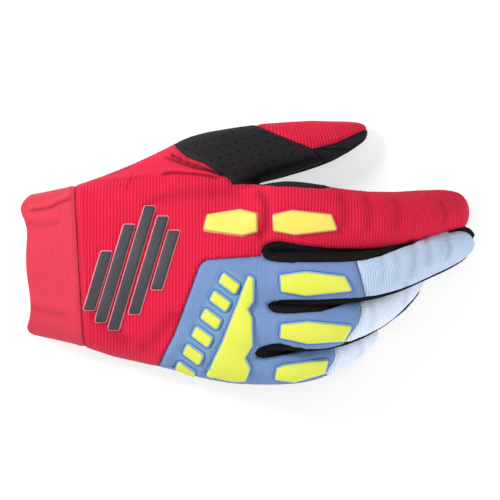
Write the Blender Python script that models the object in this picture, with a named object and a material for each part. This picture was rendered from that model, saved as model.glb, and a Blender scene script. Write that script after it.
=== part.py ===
# Motocross glove for the right hand, lying palm down as if a relaxed hand filled it.
# A sewn shell of thin panels round one hollow: knit cuff, stretch back, knuckle panel,
# finger tip panels, gussets between the fingers, thumb panels and a palm, with raised
# rubber pads, guard, bars and ribs on the back.
# Metres, +Z up, +X towards the fingertips, +Y towards the thumb.
# While it is built, X is 0 at the knuckle line and Y is 0 between index and middle finger.

import math
from collections import namedtuple

import bmesh
import bpy
from mathutils import Matrix, Vector

# Whole glove
BODY_LENGTH = 0.098  # wrist seam to knuckle line
CUFF_LENGTH = 0.0275  # cuff mouth to wrist seam
WRIST_WIDTH = 0.084
WRIST_SHIFT = -0.0068  # middle of the wrist, sideways from the web of index and middle finger
KNUCKLE_HEIGHT = 0.055  # from the table to the top of the middle knuckle
FLATTENED = 0.0004  # how much of the lowest side is pressed flat by what the glove lies on

# Walls and clearances
FABRIC = 0.0014  # stretch fabric of the back, finger panels and gussets
PALM_FABRIC = 0.0012  # synthetic suede of the palm
CUFF_FABRIC = 0.0022  # knit cuff, two layers
SEAM_GAP = 0.0004  # between neighbouring panels
PAD_THICKNESS = 0.0014
GUARD_THICKNESS = 0.0018
BAR_THICKNESS = 0.0013
RIB_THICKNESS = 0.0013
PAD_GAP = 0.0004  # between a pad and the panel under it

# Fingers. reach: how far the curled finger goes past the knuckle line, seen from above.
# seams: degrees above the finger's middle plane, on the thumb's side and on the other side.
Finger = namedtuple("Finger", "name reach width thickness seam_thumb seam_little")
INDEX = Finger("index", 0.1095, 0.0341, 0.0250, 30, 42)
MIDDLE = Finger("middle", 0.1130, 0.0262, 0.0240, 50, 39)
RING = Finger("ring", 0.0860, 0.0230, 0.0220, 50, 32)
LITTLE = Finger("little", 0.0630, 0.0182, 0.0190, 32, 28)
THUMB = Finger("thumb", 0.0570, 0.0300, 0.0270, 30, 42)
SEAM_CLOSING = 0.45  # share of those angles that is gone at the fingertip
GAP_INDEX_MIDDLE = 0.0010
GAP_MIDDLE_RING = 0.0008
GAP_RING_LITTLE = 0.0006  # seen from above; the little finger lies lower than the ring finger
THUMB_EDGE = 0.0315  # how far the thumb's base stands out past the index finger
WEB_SLOPE = 0.021  # how much further out the palm side of a finger web lies than its back side

# Sections of the hand between wrist seam and knuckles, from the wrist on.
# x: share of BODY_LENGTH. spread: 0 at the wrist's edge, 1 at the knuckles' edge.
# back and palm: heights as shares of KNUCKLE_HEIGHT, from the thumb's side to the little
# finger's. back has the two edges and the 11 points of the width, palm the 11 points.
Section = namedtuple("Section", "x_thumb x_little spread_thumb spread_little back palm")
SECTIONS = (
    Section(-1.00, -0.95, 0.00, 0.00,
            (0.31, 0.47, 0.57, 0.63, 0.67, 0.69, 0.69, 0.69, 0.68, 0.65, 0.59, 0.49, 0.31),
            (0.12, 0.02, 0.00, 0.00, 0.00, 0.00, 0.00, 0.00, 0.00, 0.02, 0.12)),
    Section(-0.85, -0.79, 0.18, 0.28,
            (0.30, 0.46, 0.57, 0.65, 0.70, 0.74, 0.75, 0.75, 0.73, 0.69, 0.62, 0.51, 0.31),
            (0.11, 0.01, 0.00, 0.00, 0.00, 0.00, 0.00, 0.00, 0.00, 0.00, 0.11)),
    Section(-0.68, -0.62, 0.41, 0.44,
            (0.29, 0.44, 0.56, 0.66, 0.74, 0.79, 0.81, 0.81, 0.79, 0.74, 0.66, 0.54, 0.33),
            (0.10, 0.00, 0.00, 0.00, 0.02, 0.03, 0.02, 0.00, 0.00, 0.00, 0.10)),
    Section(-0.53, -0.46, 0.62, 0.66,
            (0.29, 0.43, 0.56, 0.67, 0.79, 0.85, 0.88, 0.88, 0.85, 0.80, 0.71, 0.57, 0.36),
            (0.10, 0.00, 0.00, 0.02, 0.06, 0.07, 0.06, 0.03, 0.00, 0.00, 0.12)),
    Section(-0.37, -0.31, 0.87, 0.87,
            (0.30, 0.44, 0.57, 0.67, 0.84, 0.90, 0.93, 0.93, 0.90, 0.84, 0.75, 0.61, 0.42),
            (0.10, 0.00, 0.02, 0.07, 0.12, 0.13, 0.11, 0.07, 0.04, 0.04, 0.17)),
    Section(-0.19, -0.15, 1.00, 1.00,
            (0.35, 0.50, 0.59, 0.61, 0.89, 0.94, 0.97, 0.96, 0.96, 0.90, 0.81, 0.66, 0.47),
            (0.12, 0.06, 0.26, 0.20, 0.22, 0.22, 0.21, 0.19, 0.16, 0.15, 0.25)),
)
# Where the 11 points lie, as shares of the width from the thumb's edge
WIDTH_SHARES = (0.030, 0.110, 0.225, 0.361, 0.490, 0.592, 0.692, 0.782, 0.868, 0.932, 0.975)
PALM_AHEAD = 0.10  # share of BODY_LENGTH that the last section's palm side is further out
CROTCH = 2  # number of the point where thumb and index finger part
CROTCH_AHEAD = 0.07  # the middle of that web, share of BODY_LENGTH past the section's back
CROTCH_HEIGHT = 0.43

# Cuff sections, from the mouth on. x: share of CUFF_LENGTH behind the wrist seam. edge: share
# of MOUTH_EDGE. shift: towards the thumb, share of WRIST_WIDTH.
CuffSection = namedtuple("CuffSection", "x width height lift edge shift")
CUFF_SECTIONS = (
    CuffSection(1.00, 0.890, 0.92, 0.010, 1.00, 0.006),
    CuffSection(0.45, 0.950, 0.98, 0.000, 0.25, 0.003),
)
# How far the mouth's rim is drawn in at each point of the back, share of CUFF_LENGTH
MOUTH_EDGE = (0.20, 0.09, -0.09, 0.10, 0.05, 0.03, 0.05, 0.09, 0.12, 0.11, 0.02, 0.06, 0.20)

# Knuckle line: x as shares of WEB_SLOPE, heights as shares of KNUCKLE_HEIGHT
Knuckle = namedtuple("Knuckle", "x_back z_back x_palm z_palm")
KNUCKLES = (
    Knuckle(-0.20, 0.83, 0.60, 0.56),  # index, thumb side
    Knuckle(-0.05, 0.99, 0.85, 0.53),
    Knuckle(0.02, 0.88, 1.00, 0.55),  # index and middle
    Knuckle(0.15, 1.03, 1.10, 0.55),
    Knuckle(0.20, 0.90, 1.15, 0.57),  # middle and ring
    Knuckle(0.02, 0.98, 1.05, 0.55),
    Knuckle(-0.18, 0.81, 0.62, 0.53),  # ring and little
    Knuckle(-0.28, 0.83, 0.42, 0.43),
    Knuckle(-0.40, 0.65, 0.25, 0.42),  # little, outer side
)
# Half way down each side and web, from the index finger's thumb side to the little finger's edge
Web = namedtuple("Web", "x z")
WEBS = (Web(0.15, 0.70), Web(0.62, 0.72), Web(0.72, 0.74), Web(0.32, 0.67), Web(-0.08, 0.53))

# Finger sections. along and side: shares of reach, side is positive towards the thumb.
# height: share of KNUCKLE_HEIGHT. width, thick: shares of the finger's. lean: share of
# thickness that the palm side is further out. roll: degrees, back turned to the thumb side.
Station = namedtuple("Station", "along side height width thick lean roll")
STATIONS = {
    "index": (
        Station(0.090, 0.004, 0.775, 1.00, 1.00, 0.45, 0),
        Station(0.220, 0.000, 0.780, 1.00, 1.00, 0.20, 0),
        Station(0.350, -0.009, 0.755, 0.95, 0.98, 0.05, 0),
        Station(0.490, -0.010, 0.685, 0.91, 0.96, 0.00, 0),
        Station(0.630, 0.001, 0.560, 0.84, 0.93, 0.00, 0),
        Station(0.760, 0.028, 0.390, 0.75, 0.88, 0.00, 0),
        Station(0.885, 0.044, 0.175, 0.68, 0.78, 0.00, 0),
        Station(0.975, 0.043, 0.072, 0.57, 0.52, 0.00, 0),
    ),
    "middle": (
        Station(0.110, 0.000, 0.830, 1.00, 1.00, 0.45, 0),
        Station(0.225, -0.001, 0.840, 0.99, 1.00, 0.20, 0),
        Station(0.345, 0.001, 0.825, 0.97, 0.98, 0.05, 0),
        Station(0.480, 0.012, 0.770, 0.93, 0.96, 0.00, 0),
        Station(0.615, 0.036, 0.665, 0.83, 0.93, 0.00, 0),
        Station(0.750, 0.079, 0.480, 0.75, 0.89, 0.00, 0),
        Station(0.870, 0.121, 0.240, 0.68, 0.81, 0.00, 0),
        Station(0.960, 0.156, 0.076, 0.51, 0.56, 0.00, 0),
    ),
    "ring": (
        Station(0.165, 0.005, 0.800, 0.96, 1.00, 0.40, 0),
        Station(0.275, 0.000, 0.800, 0.99, 1.00, 0.20, 0),
        Station(0.415, 0.012, 0.755, 0.96, 0.97, 0.05, 0),
        Station(0.550, 0.042, 0.655, 0.92, 0.95, 0.00, 0),
        Station(0.690, 0.096, 0.490, 0.87, 0.92, 0.00, 0),
        Station(0.820, 0.178, 0.240, 0.78, 0.86, 0.00, 0),
        Station(0.940, 0.266, 0.078, 0.54, 0.62, 0.00, 0),
    ),
    "little": (
        Station(0.215, -0.002, 0.615, 0.93, 1.00, 0.40, 0),
        Station(0.340, 0.026, 0.580, 0.99, 1.00, 0.20, 0),
        Station(0.470, 0.058, 0.520, 0.98, 0.98, 0.05, 0),
        Station(0.620, 0.112, 0.430, 0.96, 0.96, 0.00, 0),
        Station(0.780, 0.198, 0.225, 0.86, 0.90, 0.00, 0),
        Station(0.930, 0.268, 0.070, 0.56, 0.64, 0.00, 0),
    ),
    "thumb": (
        Station(0.130, 0.037, 0.300, 0.95, 0.98, 0.10, 6),
        Station(0.340, 0.073, 0.265, 0.87, 0.94, 0.05, 16),
        Station(0.540, 0.112, 0.220, 0.78, 0.88, 0.00, 26),
        Station(0.720, 0.156, 0.175, 0.60, 0.76, 0.00, 34),
        Station(0.860, 0.198, 0.130, 0.41, 0.60, 0.00, 38),
        Station(0.955, 0.220, 0.090, 0.28, 0.42, 0.00, 40),
    ),
}
TIP = 1.03  # end of a finger's middle line, share of reach
ROUND_UP = 1.09  # a subdivided ring of 8 points comes out this much smaller than its points
SQUARENESS = 2.3  # exponent of the finger's rounded section

# Seams drawn on the surface, as places seen from above.
# On the hand, x: share of BODY_LENGTH, y: share of the way to the little finger's edge.
Place = namedtuple("Place", "x y")
KNUCKLE_SEAM = (Place(-0.66, 1.05), Place(-0.327, 0.122), Place(-0.300, 0.060), Place(0.004, 0.000))
KNUCKLE_FAR_SIDE = (Place(0.60, 0.000), Place(0.60, 1.60), Place(-0.66, 1.60))
# On a finger, x: share of reach, y: share of the finger's width from its middle line
TIP_SEAMS = {
    "middle": (Place(0.423, 0.60), Place(0.490, -0.60)),
    "ring": (Place(0.600, 0.60), Place(0.560, -0.60)),
    "little": (Place(0.620, 0.60), Place(0.530, -0.60)),
}
PATCH_SEAM = (Place(-0.78, 0.95), Place(-0.74, 0.060), Place(-0.31, -0.48))
PATCH_FAR_SIDE = (Place(0.00, -0.48), Place(0.00, 0.95))
THUMB_SEAM = (Place(-0.11, 0.58), Place(0.175, 0.343), Place(0.479, 0.098), Place(0.700, 0.200),
              Place(1.06, 0.52))
FLAP_SEAM = (Place(0.479, 0.098), Place(0.640, -0.55))
SNAP = 0.0007  # a point of the surface this near to a seam is taken as on it

# Raised pieces, as places seen from above
PADS = {
    "index_pad_1": (INDEX, (
        Place(-0.254, 0.055), Place(-0.108, 0.154), Place(-0.015, 0.093), Place(-0.018, -0.192),
        Place(-0.086, -0.261), Place(-0.269, -0.182))),
    "index_pad_2": (INDEX, (
        Place(0.061, 0.064), Place(0.146, 0.143), Place(0.337, 0.073), Place(0.364, -0.162),
        Place(0.162, -0.240), Place(0.064, -0.182))),
    "middle_pad": (MIDDLE, (
        Place(0.093, 0.046), Place(0.210, 0.114), Place(0.384, 0.024), Place(0.415, -0.226),
        Place(0.206, -0.322), Place(0.097, -0.242))),
    "ring_pad": (RING, (
        Place(0.127, 0.048), Place(0.280, 0.112), Place(0.538, 0.020), Place(0.494, -0.295),
        Place(0.281, -0.340), Place(0.120, -0.220))),
    "little_pad": (LITTLE, (
        Place(0.138, -0.024), Place(0.191, 0.050), Place(0.552, 0.213), Place(0.526, -0.148),
        Place(0.276, -0.384), Place(0.122, -0.312))),
}
GUARD = (
    Place(-0.062, 0.183), Place(-0.038, 0.198), Place(-0.043, 0.366), Place(-0.072, 0.424),
    Place(-0.048, 0.492), Place(-0.048, 0.694), Place(-0.089, 0.789), Place(-0.060, 0.860),
    Place(-0.080, 0.945), Place(-0.273, 0.945), Place(-0.250, 0.882),
)
# A row of plain slanted bars beside the guard
BAR_COUNT = 6
BAR_ROW = (Place(-0.405, 0.900), Place(-0.165, 0.235))  # middles of the first and last bar
BAR_WIDTH = 0.0052
BAR_LENGTH = 0.0098
BAR_SLANT = 0.0016
# A group of plain slanted ribs on the back of the hand
Rib = namedtuple("Rib", "x y length")  # length: share of WRIST_WIDTH
RIBS = (
    Rib(-0.865, 0.215, 0.36), Rib(-0.775, 0.160, 0.60), Rib(-0.685, 0.120, 0.76),
    Rib(-0.595, 0.100, 0.60), Rib(-0.505, 0.060, 0.36),
)
RIB_WIDTH = 0.0056
RIB_SLANT = 0.30  # how far a rib leans towards the fingers, share of its length

# Colours, roughness
Finish = namedtuple("Finish", "colour roughness")
RED = Finish((0.74, 0.02, 0.06), 0.75)
CUFF_RED = Finish((0.80, 0.07, 0.11), 0.85)
BLUE = Finish((0.22, 0.33, 0.64), 0.75)
PALE_BLUE = Finish((0.48, 0.60, 0.84), 0.75)
BLACK = Finish((0.012, 0.012, 0.014), 0.80)
SUEDE = Finish((0.016, 0.016, 0.018), 0.90)
YELLOW = Finish((0.82, 0.94, 0.09), 0.45)
GREY = Finish((0.08, 0.08, 0.10), 0.50)

Glove = namedtuple("Glove", "points faces")  # a face is its corners and the name of its region


def blend(start, end, share):
    return start + (end - start) * share


def finger_middles():
    index = (GAP_INDEX_MIDDLE + INDEX.width) / 2
    middle = -(GAP_INDEX_MIDDLE + MIDDLE.width) / 2
    ring = middle - MIDDLE.width / 2 - GAP_MIDDLE_RING - RING.width / 2
    little = ring - RING.width / 2 - GAP_RING_LITTLE - LITTLE.width / 2
    thumb = index + INDEX.width / 2 + THUMB_EDGE - THUMB.width / 2
    return {"index": index, "middle": middle, "ring": ring, "little": little, "thumb": thumb}


MIDDLES = finger_middles()
KNUCKLE_EDGES = (MIDDLES["thumb"] + THUMB.width / 2, MIDDLES["little"] - LITTLE.width / 2)
WRIST_EDGES = (WRIST_SHIFT + WRIST_WIDTH / 2, WRIST_SHIFT - WRIST_WIDTH / 2)


def on_hand(place):
    return Vector((place.x * BODY_LENGTH, place.y * KNUCKLE_EDGES[1], 0))


def on_finger(finger, place):
    return Vector((place.x * finger.reach, MIDDLES[finger.name] + place.y * finger.width, 0))


# The coarse cage of the whole shell

def add_points(glove, points):
    first = len(glove.points)
    glove.points.extend(points)
    return list(range(first, len(glove.points)))


def join_rings(glove, ring, following, regions):
    count = len(ring)
    for place, region in enumerate(regions):
        after = (place + 1) % count
        corners = (ring[place], ring[after], following[after], following[place])
        glove.faces.append((corners, region))


def section_ring(section, ahead):
    # One edge, the back, the other edge and the palm, as one closed ring
    thumb_side = blend(WRIST_EDGES[0], KNUCKLE_EDGES[0], section.spread_thumb)
    little_side = blend(WRIST_EDGES[1], KNUCKLE_EDGES[1], section.spread_little)

    def point(share, height, further=0.0):
        x = (blend(section.x_thumb, section.x_little, share) + further) * BODY_LENGTH
        return Vector((x, blend(thumb_side, little_side, share), height * KNUCKLE_HEIGHT))

    back = [point(share, z) for share, z in zip((0.0,) + WIDTH_SHARES + (1.0,), section.back)]
    palm = [point(share, z, ahead) for share, z in zip(WIDTH_SHARES, section.palm)]
    return back + palm[::-1]


def cuff_ring(wrist, cuff):
    middle_y = sum(WRIST_EDGES) / 2
    ring = []
    for point, edge in zip(wrist, MOUTH_EDGE + MOUTH_EDGE[-2:0:-1]):
        x = point.x - (cuff.x - edge * cuff.edge) * CUFF_LENGTH
        y = middle_y + (point.y - middle_y) * cuff.width + cuff.shift * WRIST_WIDTH
        z = (point.z + cuff.lift * KNUCKLE_HEIGHT) * cuff.height
        ring.append(Vector((x, y, z)))
    return ring


def knuckle_ring():
    across = [
        MIDDLES["index"] + INDEX.width / 2 * 0.94, MIDDLES["index"], 0.0, MIDDLES["middle"],
        MIDDLES["middle"] - (MIDDLE.width + GAP_MIDDLE_RING) / 2, MIDDLES["ring"],
        MIDDLES["ring"] - (RING.width + GAP_RING_LITTLE) / 2, MIDDLES["little"],
        KNUCKLE_EDGES[1] + LITTLE.width * 0.05,
    ]
    sides = [MIDDLES["index"] + INDEX.width / 2, across[2], across[4], across[6], KNUCKLE_EDGES[1]]
    back = [Vector((k.x_back * WEB_SLOPE, y, k.z_back * KNUCKLE_HEIGHT))
            for k, y in zip(KNUCKLES, across)]
    palm = [Vector((k.x_palm * WEB_SLOPE, y, k.z_palm * KNUCKLE_HEIGHT))
            for k, y in zip(KNUCKLES, across)]
    webs = [Vector((web.x * WEB_SLOPE, y, web.z * KNUCKLE_HEIGHT)) for web, y in zip(WEBS, sides)]
    return back, palm, webs


def rounded(angle, half_width, half_thickness):
    # A point of a squarish oval
    power = 2 / SQUARENESS
    side = math.copysign(abs(math.cos(angle)) ** power, math.cos(angle)) * half_width
    up = math.copysign(abs(math.sin(angle)) ** power, math.sin(angle)) * half_thickness
    return side, up


def ring_angles(finger, along):
    closing = 1 - SEAM_CLOSING * along
    thumb, little = finger.seam_thumb * closing, finger.seam_little * closing
    degrees = (0, thumb, 90, 180 - little, 180, 180 + little, 270, 360 - thumb)
    return [math.radians(angle) for angle in degrees]


def finger_rings(finger):
    stations = STATIONS[finger.name]
    middle_y = MIDDLES[finger.name]
    line = [Vector((s.along * finger.reach, middle_y + s.side * finger.reach,
                    s.height * KNUCKLE_HEIGHT)) for s in stations]
    rings = []
    for number, (station, middle) in enumerate(zip(stations, line)):
        forward = (line[min(number + 1, len(line) - 1)] - line[max(number - 1, 0)]).normalized()
        side = Vector((0, 0, 1)).cross(forward).normalized()
        up = forward.cross(side)
        turn = Matrix.Rotation(-math.radians(station.roll), 3, forward)
        ring = []
        for angle in ring_angles(finger, station.along):
            across, rise = rounded(angle, finger.width * station.width * ROUND_UP / 2,
                                   finger.thickness * station.thick * ROUND_UP / 2)
            offset = turn @ (side * across + up * rise)
            ring.append(middle + offset - forward * rise * station.lean)
        rings.append(ring)
    last, before = line[-1], line[-2]
    tip_x = TIP * finger.reach
    tip = last + (last - before) * ((tip_x - last.x) / (last.x - before.x)) * 0.8
    tip.x = tip_x
    return rings, tip


FINGER_REGIONS = {
    "index": ("index",) * 3 + ("gusset_index_middle",) * 2 + ("palm",) * 3,
    "middle": ("gusset_index_middle", "middle", "middle", "gusset_middle_ring",
               "gusset_middle_ring", "palm", "palm", "gusset_index_middle"),
    "ring": ("gusset_middle_ring", "ring", "ring", "gusset_ring_little",
             "gusset_ring_little", "palm", "palm", "gusset_middle_ring"),
    "little": ("gusset_ring_little", "little", "little", "little", "palm", "palm", "palm",
               "gusset_ring_little"),
    "thumb": ("thumb",) * 4 + ("palm",) * 4,
}


def add_finger(glove, finger, root):
    # root: the finger's first ring, already in the glove
    regions = FINGER_REGIONS[finger.name]
    rings, tip = finger_rings(finger)
    last = root
    for points in rings:
        following = add_points(glove, points)
        join_rings(glove, last, following, regions)
        last = following
    end = add_points(glove, [tip])[0]
    for corner, region in ((0, finger.name), (2, finger.name), (4, "palm"), (6, "palm")):
        corners = (last[corner], last[corner + 1], last[(corner + 2) % 8], end)
        glove.faces.append((corners, region))


def build_cage():
    glove = Glove([], [])
    sections = [section_ring(section, 0.0) for section in SECTIONS[:-1]]
    sections.append(section_ring(SECTIONS[-1], PALM_AHEAD))
    width = len(WIDTH_SHARES)
    hand_regions = ("back",) * (width + 1) + ("palm",) * (width + 1)
    last = None
    for cuff in CUFF_SECTIONS:
        ring = add_points(glove, cuff_ring(sections[0], cuff))
        if last:
            join_rings(glove, last, ring, ("cuff",) * len(ring))
        last = ring
    for number, points in enumerate(sections):
        ring = add_points(glove, points)
        join_rings(glove, last, ring, hand_regions if number else ("cuff",) * len(ring))
        last = ring

    # Past this ring the thumb goes its own way
    back = last[1:1 + width]
    palm = last[:width + 1:-1]
    section = SECTIONS[-1]
    crotch = Vector(glove.points[back[CROTCH]])
    crotch.x += CROTCH_AHEAD * BODY_LENGTH
    crotch.z = CROTCH_HEIGHT * KNUCKLE_HEIGHT
    web = add_points(glove, [crotch])[0]
    thumb_root = [last[0], back[0], back[1], back[2], web, palm[2], palm[1], palm[0]]
    hand = [web] + back[CROTCH:] + [last[width + 1]] + palm[:CROTCH - 1:-1]

    knuckle_back, knuckle_palm, webs = (add_points(glove, row) for row in knuckle_ring())
    knuckles = [webs[0]] + knuckle_back + [webs[-1]] + knuckle_palm[::-1]
    side = len(knuckle_back)
    join_rings(glove, hand, knuckles, ("back",) * (side + 1) + ("palm",) * (side + 1))
    for number, finger in enumerate((INDEX, MIDDLE, RING, LITTLE)):
        start = 2 * number
        root = [webs[number]] + knuckle_back[start:start + 3] + [webs[number + 1]]
        root += knuckle_palm[start:start + 3][::-1]
        add_finger(glove, finger, root)
    add_finger(glove, THUMB, thumb_root)
    return glove


# The subdivided surface, with its seams cut in and each face's panel worked out

def smooth_surface(glove):
    regions = sorted({region for corners, region in glove.faces})
    mesh = bpy.data.meshes.new("shell")
    mesh.from_pydata(glove.points, [], [corners for corners, region in glove.faces])
    for polygon, (corners, region) in zip(mesh.polygons, glove.faces):
        polygon.material_index = regions.index(region)
    shell = bpy.data.objects.new("shell", mesh)
    bpy.context.scene.collection.objects.link(shell)
    smooth = shell.modifiers.new("round", "SUBSURF")
    smooth.levels = 1
    smooth.render_levels = 1
    smooth.boundary_smooth = "PRESERVE_CORNERS"
    graph = bpy.context.evaluated_depsgraph_get()
    surface = bmesh.new()
    surface.from_object(shell, graph)
    bpy.data.objects.remove(shell)
    for vertex in surface.verts:
        vertex.co.z = max(vertex.co.z - FLATTENED, 0.0)
    return surface, regions


def cut_seam(surface, start, end, regions):
    # Upright cut through the faces of some regions, along one straight stretch
    along = (end - start).normalized()
    length = (end - start).length
    across = Vector((-along.y, along.x, 0))
    near = []
    for face in surface.faces:
        if face.material_index not in regions:
            continue
        reach = [(vertex.co - start).dot(along) for vertex in face.verts]
        if max(reach) > 0 and min(reach) < length:
            near.append(face)
    parts = set(near)
    for face in near:
        parts.update(face.edges)
        parts.update(face.verts)
    bmesh.ops.bisect_plane(surface, geom=list(parts), dist=SNAP, plane_co=start, plane_no=across)


def cut_seams(surface, line, regions):
    for start, end in zip(line, line[1:]):
        cut_seam(surface, start, end, regions)


def inside(outline, point):
    crossings = 0
    for start, end in zip(outline, outline[1:] + outline[:1]):
        if (start.y > point.y) != (end.y > point.y):
            x = start.x + (point.y - start.y) / (end.y - start.y) * (end.x - start.x)
            crossings += x > point.x
    return crossings % 2 == 1


def seam_lines():
    lines = {
        "knuckle": [on_hand(place) for place in KNUCKLE_SEAM],
        "patch": [on_finger(THUMB, place) for place in PATCH_SEAM],
        "thumb": [on_finger(THUMB, place) for place in THUMB_SEAM],
        "flap": [on_finger(THUMB, place) for place in FLAP_SEAM],
    }
    for finger in (MIDDLE, RING, LITTLE):
        lines[finger.name] = [on_finger(finger, place) for place in TIP_SEAMS[finger.name]]
    return lines


def beyond(line, point):
    # On the fingertip's side of a two-point line that runs away from the thumb
    start, end = line
    return (end - start).cross(point - start).z > 0


def panel_of(region, point, lines):
    if region == "back":
        blue = lines["knuckle"] + [on_hand(place) for place in KNUCKLE_FAR_SIDE]
        patch = lines["patch"] + [on_finger(THUMB, place) for place in PATCH_FAR_SIDE]
        if inside(blue, point):
            return "knuckle_panel"
        return "thumb_patch" if inside(patch, point) else "back_panel"
    if region == "index":
        return "back_panel"
    if region in TIP_SEAMS:
        return region + "_tip" if beyond(lines[region], point) else "knuckle_panel"
    if region == "thumb":
        side = 2 * THUMB.width
        outer = [lines["thumb"][-1] + Vector((0, side, 0)), lines["thumb"][0] + Vector((0, side, 0))]
        if inside(lines["thumb"] + outer, point):
            return "thumb_back"
        return "palm" if beyond(lines["flap"], point) else "thumb_patch"
    return region


def build_surface():
    surface, regions = smooth_surface(build_cage())
    number = {name: place for place, name in enumerate(regions)}
    lines = seam_lines()
    cut_seams(surface, lines["knuckle"], {number["back"]})
    cut_seams(surface, lines["patch"], {number["back"]})
    cut_seams(surface, lines["thumb"], {number["thumb"]})
    cut_seams(surface, lines["flap"], {number["thumb"]})
    for name in TIP_SEAMS:
        cut_seams(surface, lines[name], {number[name]})
    panels = []
    for face in surface.faces:
        panel = panel_of(regions[face.material_index], face.calc_center_median(), lines)
        if panel not in panels:
            panels.append(panel)
        face.material_index = panels.index(panel)
    bmesh.ops.triangulate(surface, faces=surface.faces[:])
    surface.normal_update()
    outward = surface.verts.layers.float_vector.new("outward")
    for vertex in surface.verts:
        vertex[outward] = vertex.normal
    return surface, panels


# Walls made from stretches of the surface

SHARPEST = 0.25  # sine of half the angle of the sharpest corner that keeps its full gap
SHARP = -0.45  # cosine between the inward directions of two rims that meet in a sharp corner


def pull_in(faces, distance):
    # How far each vertex on the rim of the faces moves into them
    chosen = set(faces)
    inward, along = {}, {}
    for face in faces:
        for loop in face.loops:
            if sum(other in chosen for other in loop.edge.link_faces) == 1:
                start, end = loop.vert, loop.link_loop_next.vert
                edge = (end.co - start.co).normalized()
                for vertex, leaving in ((start, edge), (end, -edge)):
                    inward.setdefault(vertex, []).append(face.normal.cross(edge).normalized())
                    along.setdefault(vertex, Vector())
                    along[vertex] += leaving
    moves = {}
    for vertex, directions in inward.items():
        middle = sum(directions, Vector()).normalized()
        if directions[0].dot(directions[-1]) < SHARP:
            # The sharp end of a strip, or the notch round it: it moves along the strip
            middle = along[vertex].normalized() * math.copysign(1, along[vertex].dot(middle))
        sharpness = min(middle.dot(direction) for direction in directions)
        moves[vertex] = middle * distance / max(sharpness, SHARPEST)
    return moves


def add_wall(name, surface, faces, top, thickness, finish, gap):
    # top: how far the outer side stands above the surface
    outward = surface.verts.layers.float_vector["outward"]
    moves = pull_in(faces, gap)
    wall = bmesh.new()
    outer, inner = {}, {}
    for face in faces:
        for vertex in face.verts:
            if vertex not in outer:
                place = vertex.co + moves.get(vertex, Vector())
                normal = vertex[outward].normalized()
                outer[vertex] = wall.verts.new(place + normal * top)
                inner[vertex] = wall.verts.new(place + normal * (top - thickness))
    chosen = set(faces)
    for face in faces:
        wall.faces.new([outer[vertex] for vertex in face.verts])
        wall.faces.new([inner[vertex] for vertex in reversed(face.verts)])
        for loop in face.loops:
            if sum(other in chosen for other in loop.edge.link_faces) == 1:
                start, end = loop.vert, loop.link_loop_next.vert
                wall.faces.new((outer[end], outer[start], inner[start], inner[end]))
    bmesh.ops.triangulate(wall, faces=wall.faces[:])
    mesh = bpy.data.meshes.new(name)
    wall.to_mesh(mesh)
    wall.free()
    mesh.shade_smooth()
    mesh.set_sharp_from_angle(angle=math.radians(45))
    mesh.materials.append(material_of(name, finish))
    piece = bpy.data.objects.new(name, mesh)
    bpy.context.scene.collection.objects.link(piece)
    return piece


def material_of(name, finish):
    material = bpy.data.materials.new(name)
    material.use_nodes = True
    shader = material.node_tree.nodes["Principled BSDF"]
    shader.inputs["Base Color"].default_value = (*finish.colour, 1)
    shader.inputs["Roughness"].default_value = finish.roughness
    shader.inputs["Metallic"].default_value = 0
    return material


PANELS = {
    "cuff": (CUFF_FABRIC, CUFF_RED),
    "back_panel": (FABRIC, RED),
    "knuckle_panel": (FABRIC, BLUE),
    "middle_tip": (FABRIC, PALE_BLUE),
    "ring_tip": (FABRIC, PALE_BLUE),
    "little_tip": (FABRIC, PALE_BLUE),
    "gusset_index_middle": (FABRIC, BLACK),
    "gusset_middle_ring": (FABRIC, BLACK),
    "gusset_ring_little": (FABRIC, BLACK),
    "thumb_back": (FABRIC, RED),
    "thumb_patch": (FABRIC, BLACK),
    "palm": (PALM_FABRIC, SUEDE),
}


def add_panels(surface, panels):
    for name, (thickness, finish) in PANELS.items():
        number = panels.index(name)
        faces = [face for face in surface.faces if face.material_index == number]
        add_wall(name, surface, faces, 0.0, thickness, finish, SEAM_GAP / 2)


CARRIERS = ("back_panel", "knuckle_panel")  # what the raised pieces lie on


def joined_to_top(faces):
    # The faces that hang together with the highest one: fingers overlap, seen from above
    chosen = set(faces)
    waiting = [max(faces, key=lambda face: face.calc_center_median().z)]
    joined = set(waiting)
    while waiting:
        for edge in waiting.pop().edges:
            for face in edge.link_faces:
                if face in chosen and face not in joined:
                    joined.add(face)
                    waiting.append(face)
    return [face for face in faces if face in joined]


def add_raised(name, surface, panels, outline, thickness, finish):
    # A rubber piece with an upright outline, lying on the back
    patch = surface.copy()
    low = [min(point[axis] for point in outline) - SNAP for axis in (0, 1)]
    high = [max(point[axis] for point in outline) + SNAP for axis in (0, 1)]
    far = [face for face in patch.faces if panels[face.material_index] not in CARRIERS
           or any(max(vertex.co[axis] for vertex in face.verts) < low[axis]
                  or min(vertex.co[axis] for vertex in face.verts) > high[axis] for axis in (0, 1))]
    bmesh.ops.delete(patch, geom=far, context="FACES")
    for start, end in zip(outline, outline[1:] + outline[:1]):
        across = Vector((start.y - end.y, end.x - start.x, 0)).normalized()
        parts = patch.verts[:] + patch.edges[:] + patch.faces[:]
        bmesh.ops.bisect_plane(patch, geom=parts, dist=SNAP / 7, plane_co=start, plane_no=across)
    bmesh.ops.triangulate(patch, faces=patch.faces[:])
    patch.normal_update()
    faces = [face for face in patch.faces if inside(outline, face.calc_center_median())]
    piece = add_wall(name, patch, joined_to_top(faces), PAD_GAP + thickness, thickness,
                     finish, 0.0)
    patch.free()
    return piece


def slanted_bar(middle, direction, length, width, slant):
    # Four corners of a bar that leans by slant, across its direction
    across = Vector((-direction.y, direction.x, 0))
    lean = direction * slant / 2
    ends = (middle + across * length / 2 + lean, middle - across * length / 2 - lean)
    half = direction * width / 2
    return [ends[0] - half, ends[0] + half, ends[1] + half, ends[1] - half]


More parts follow.
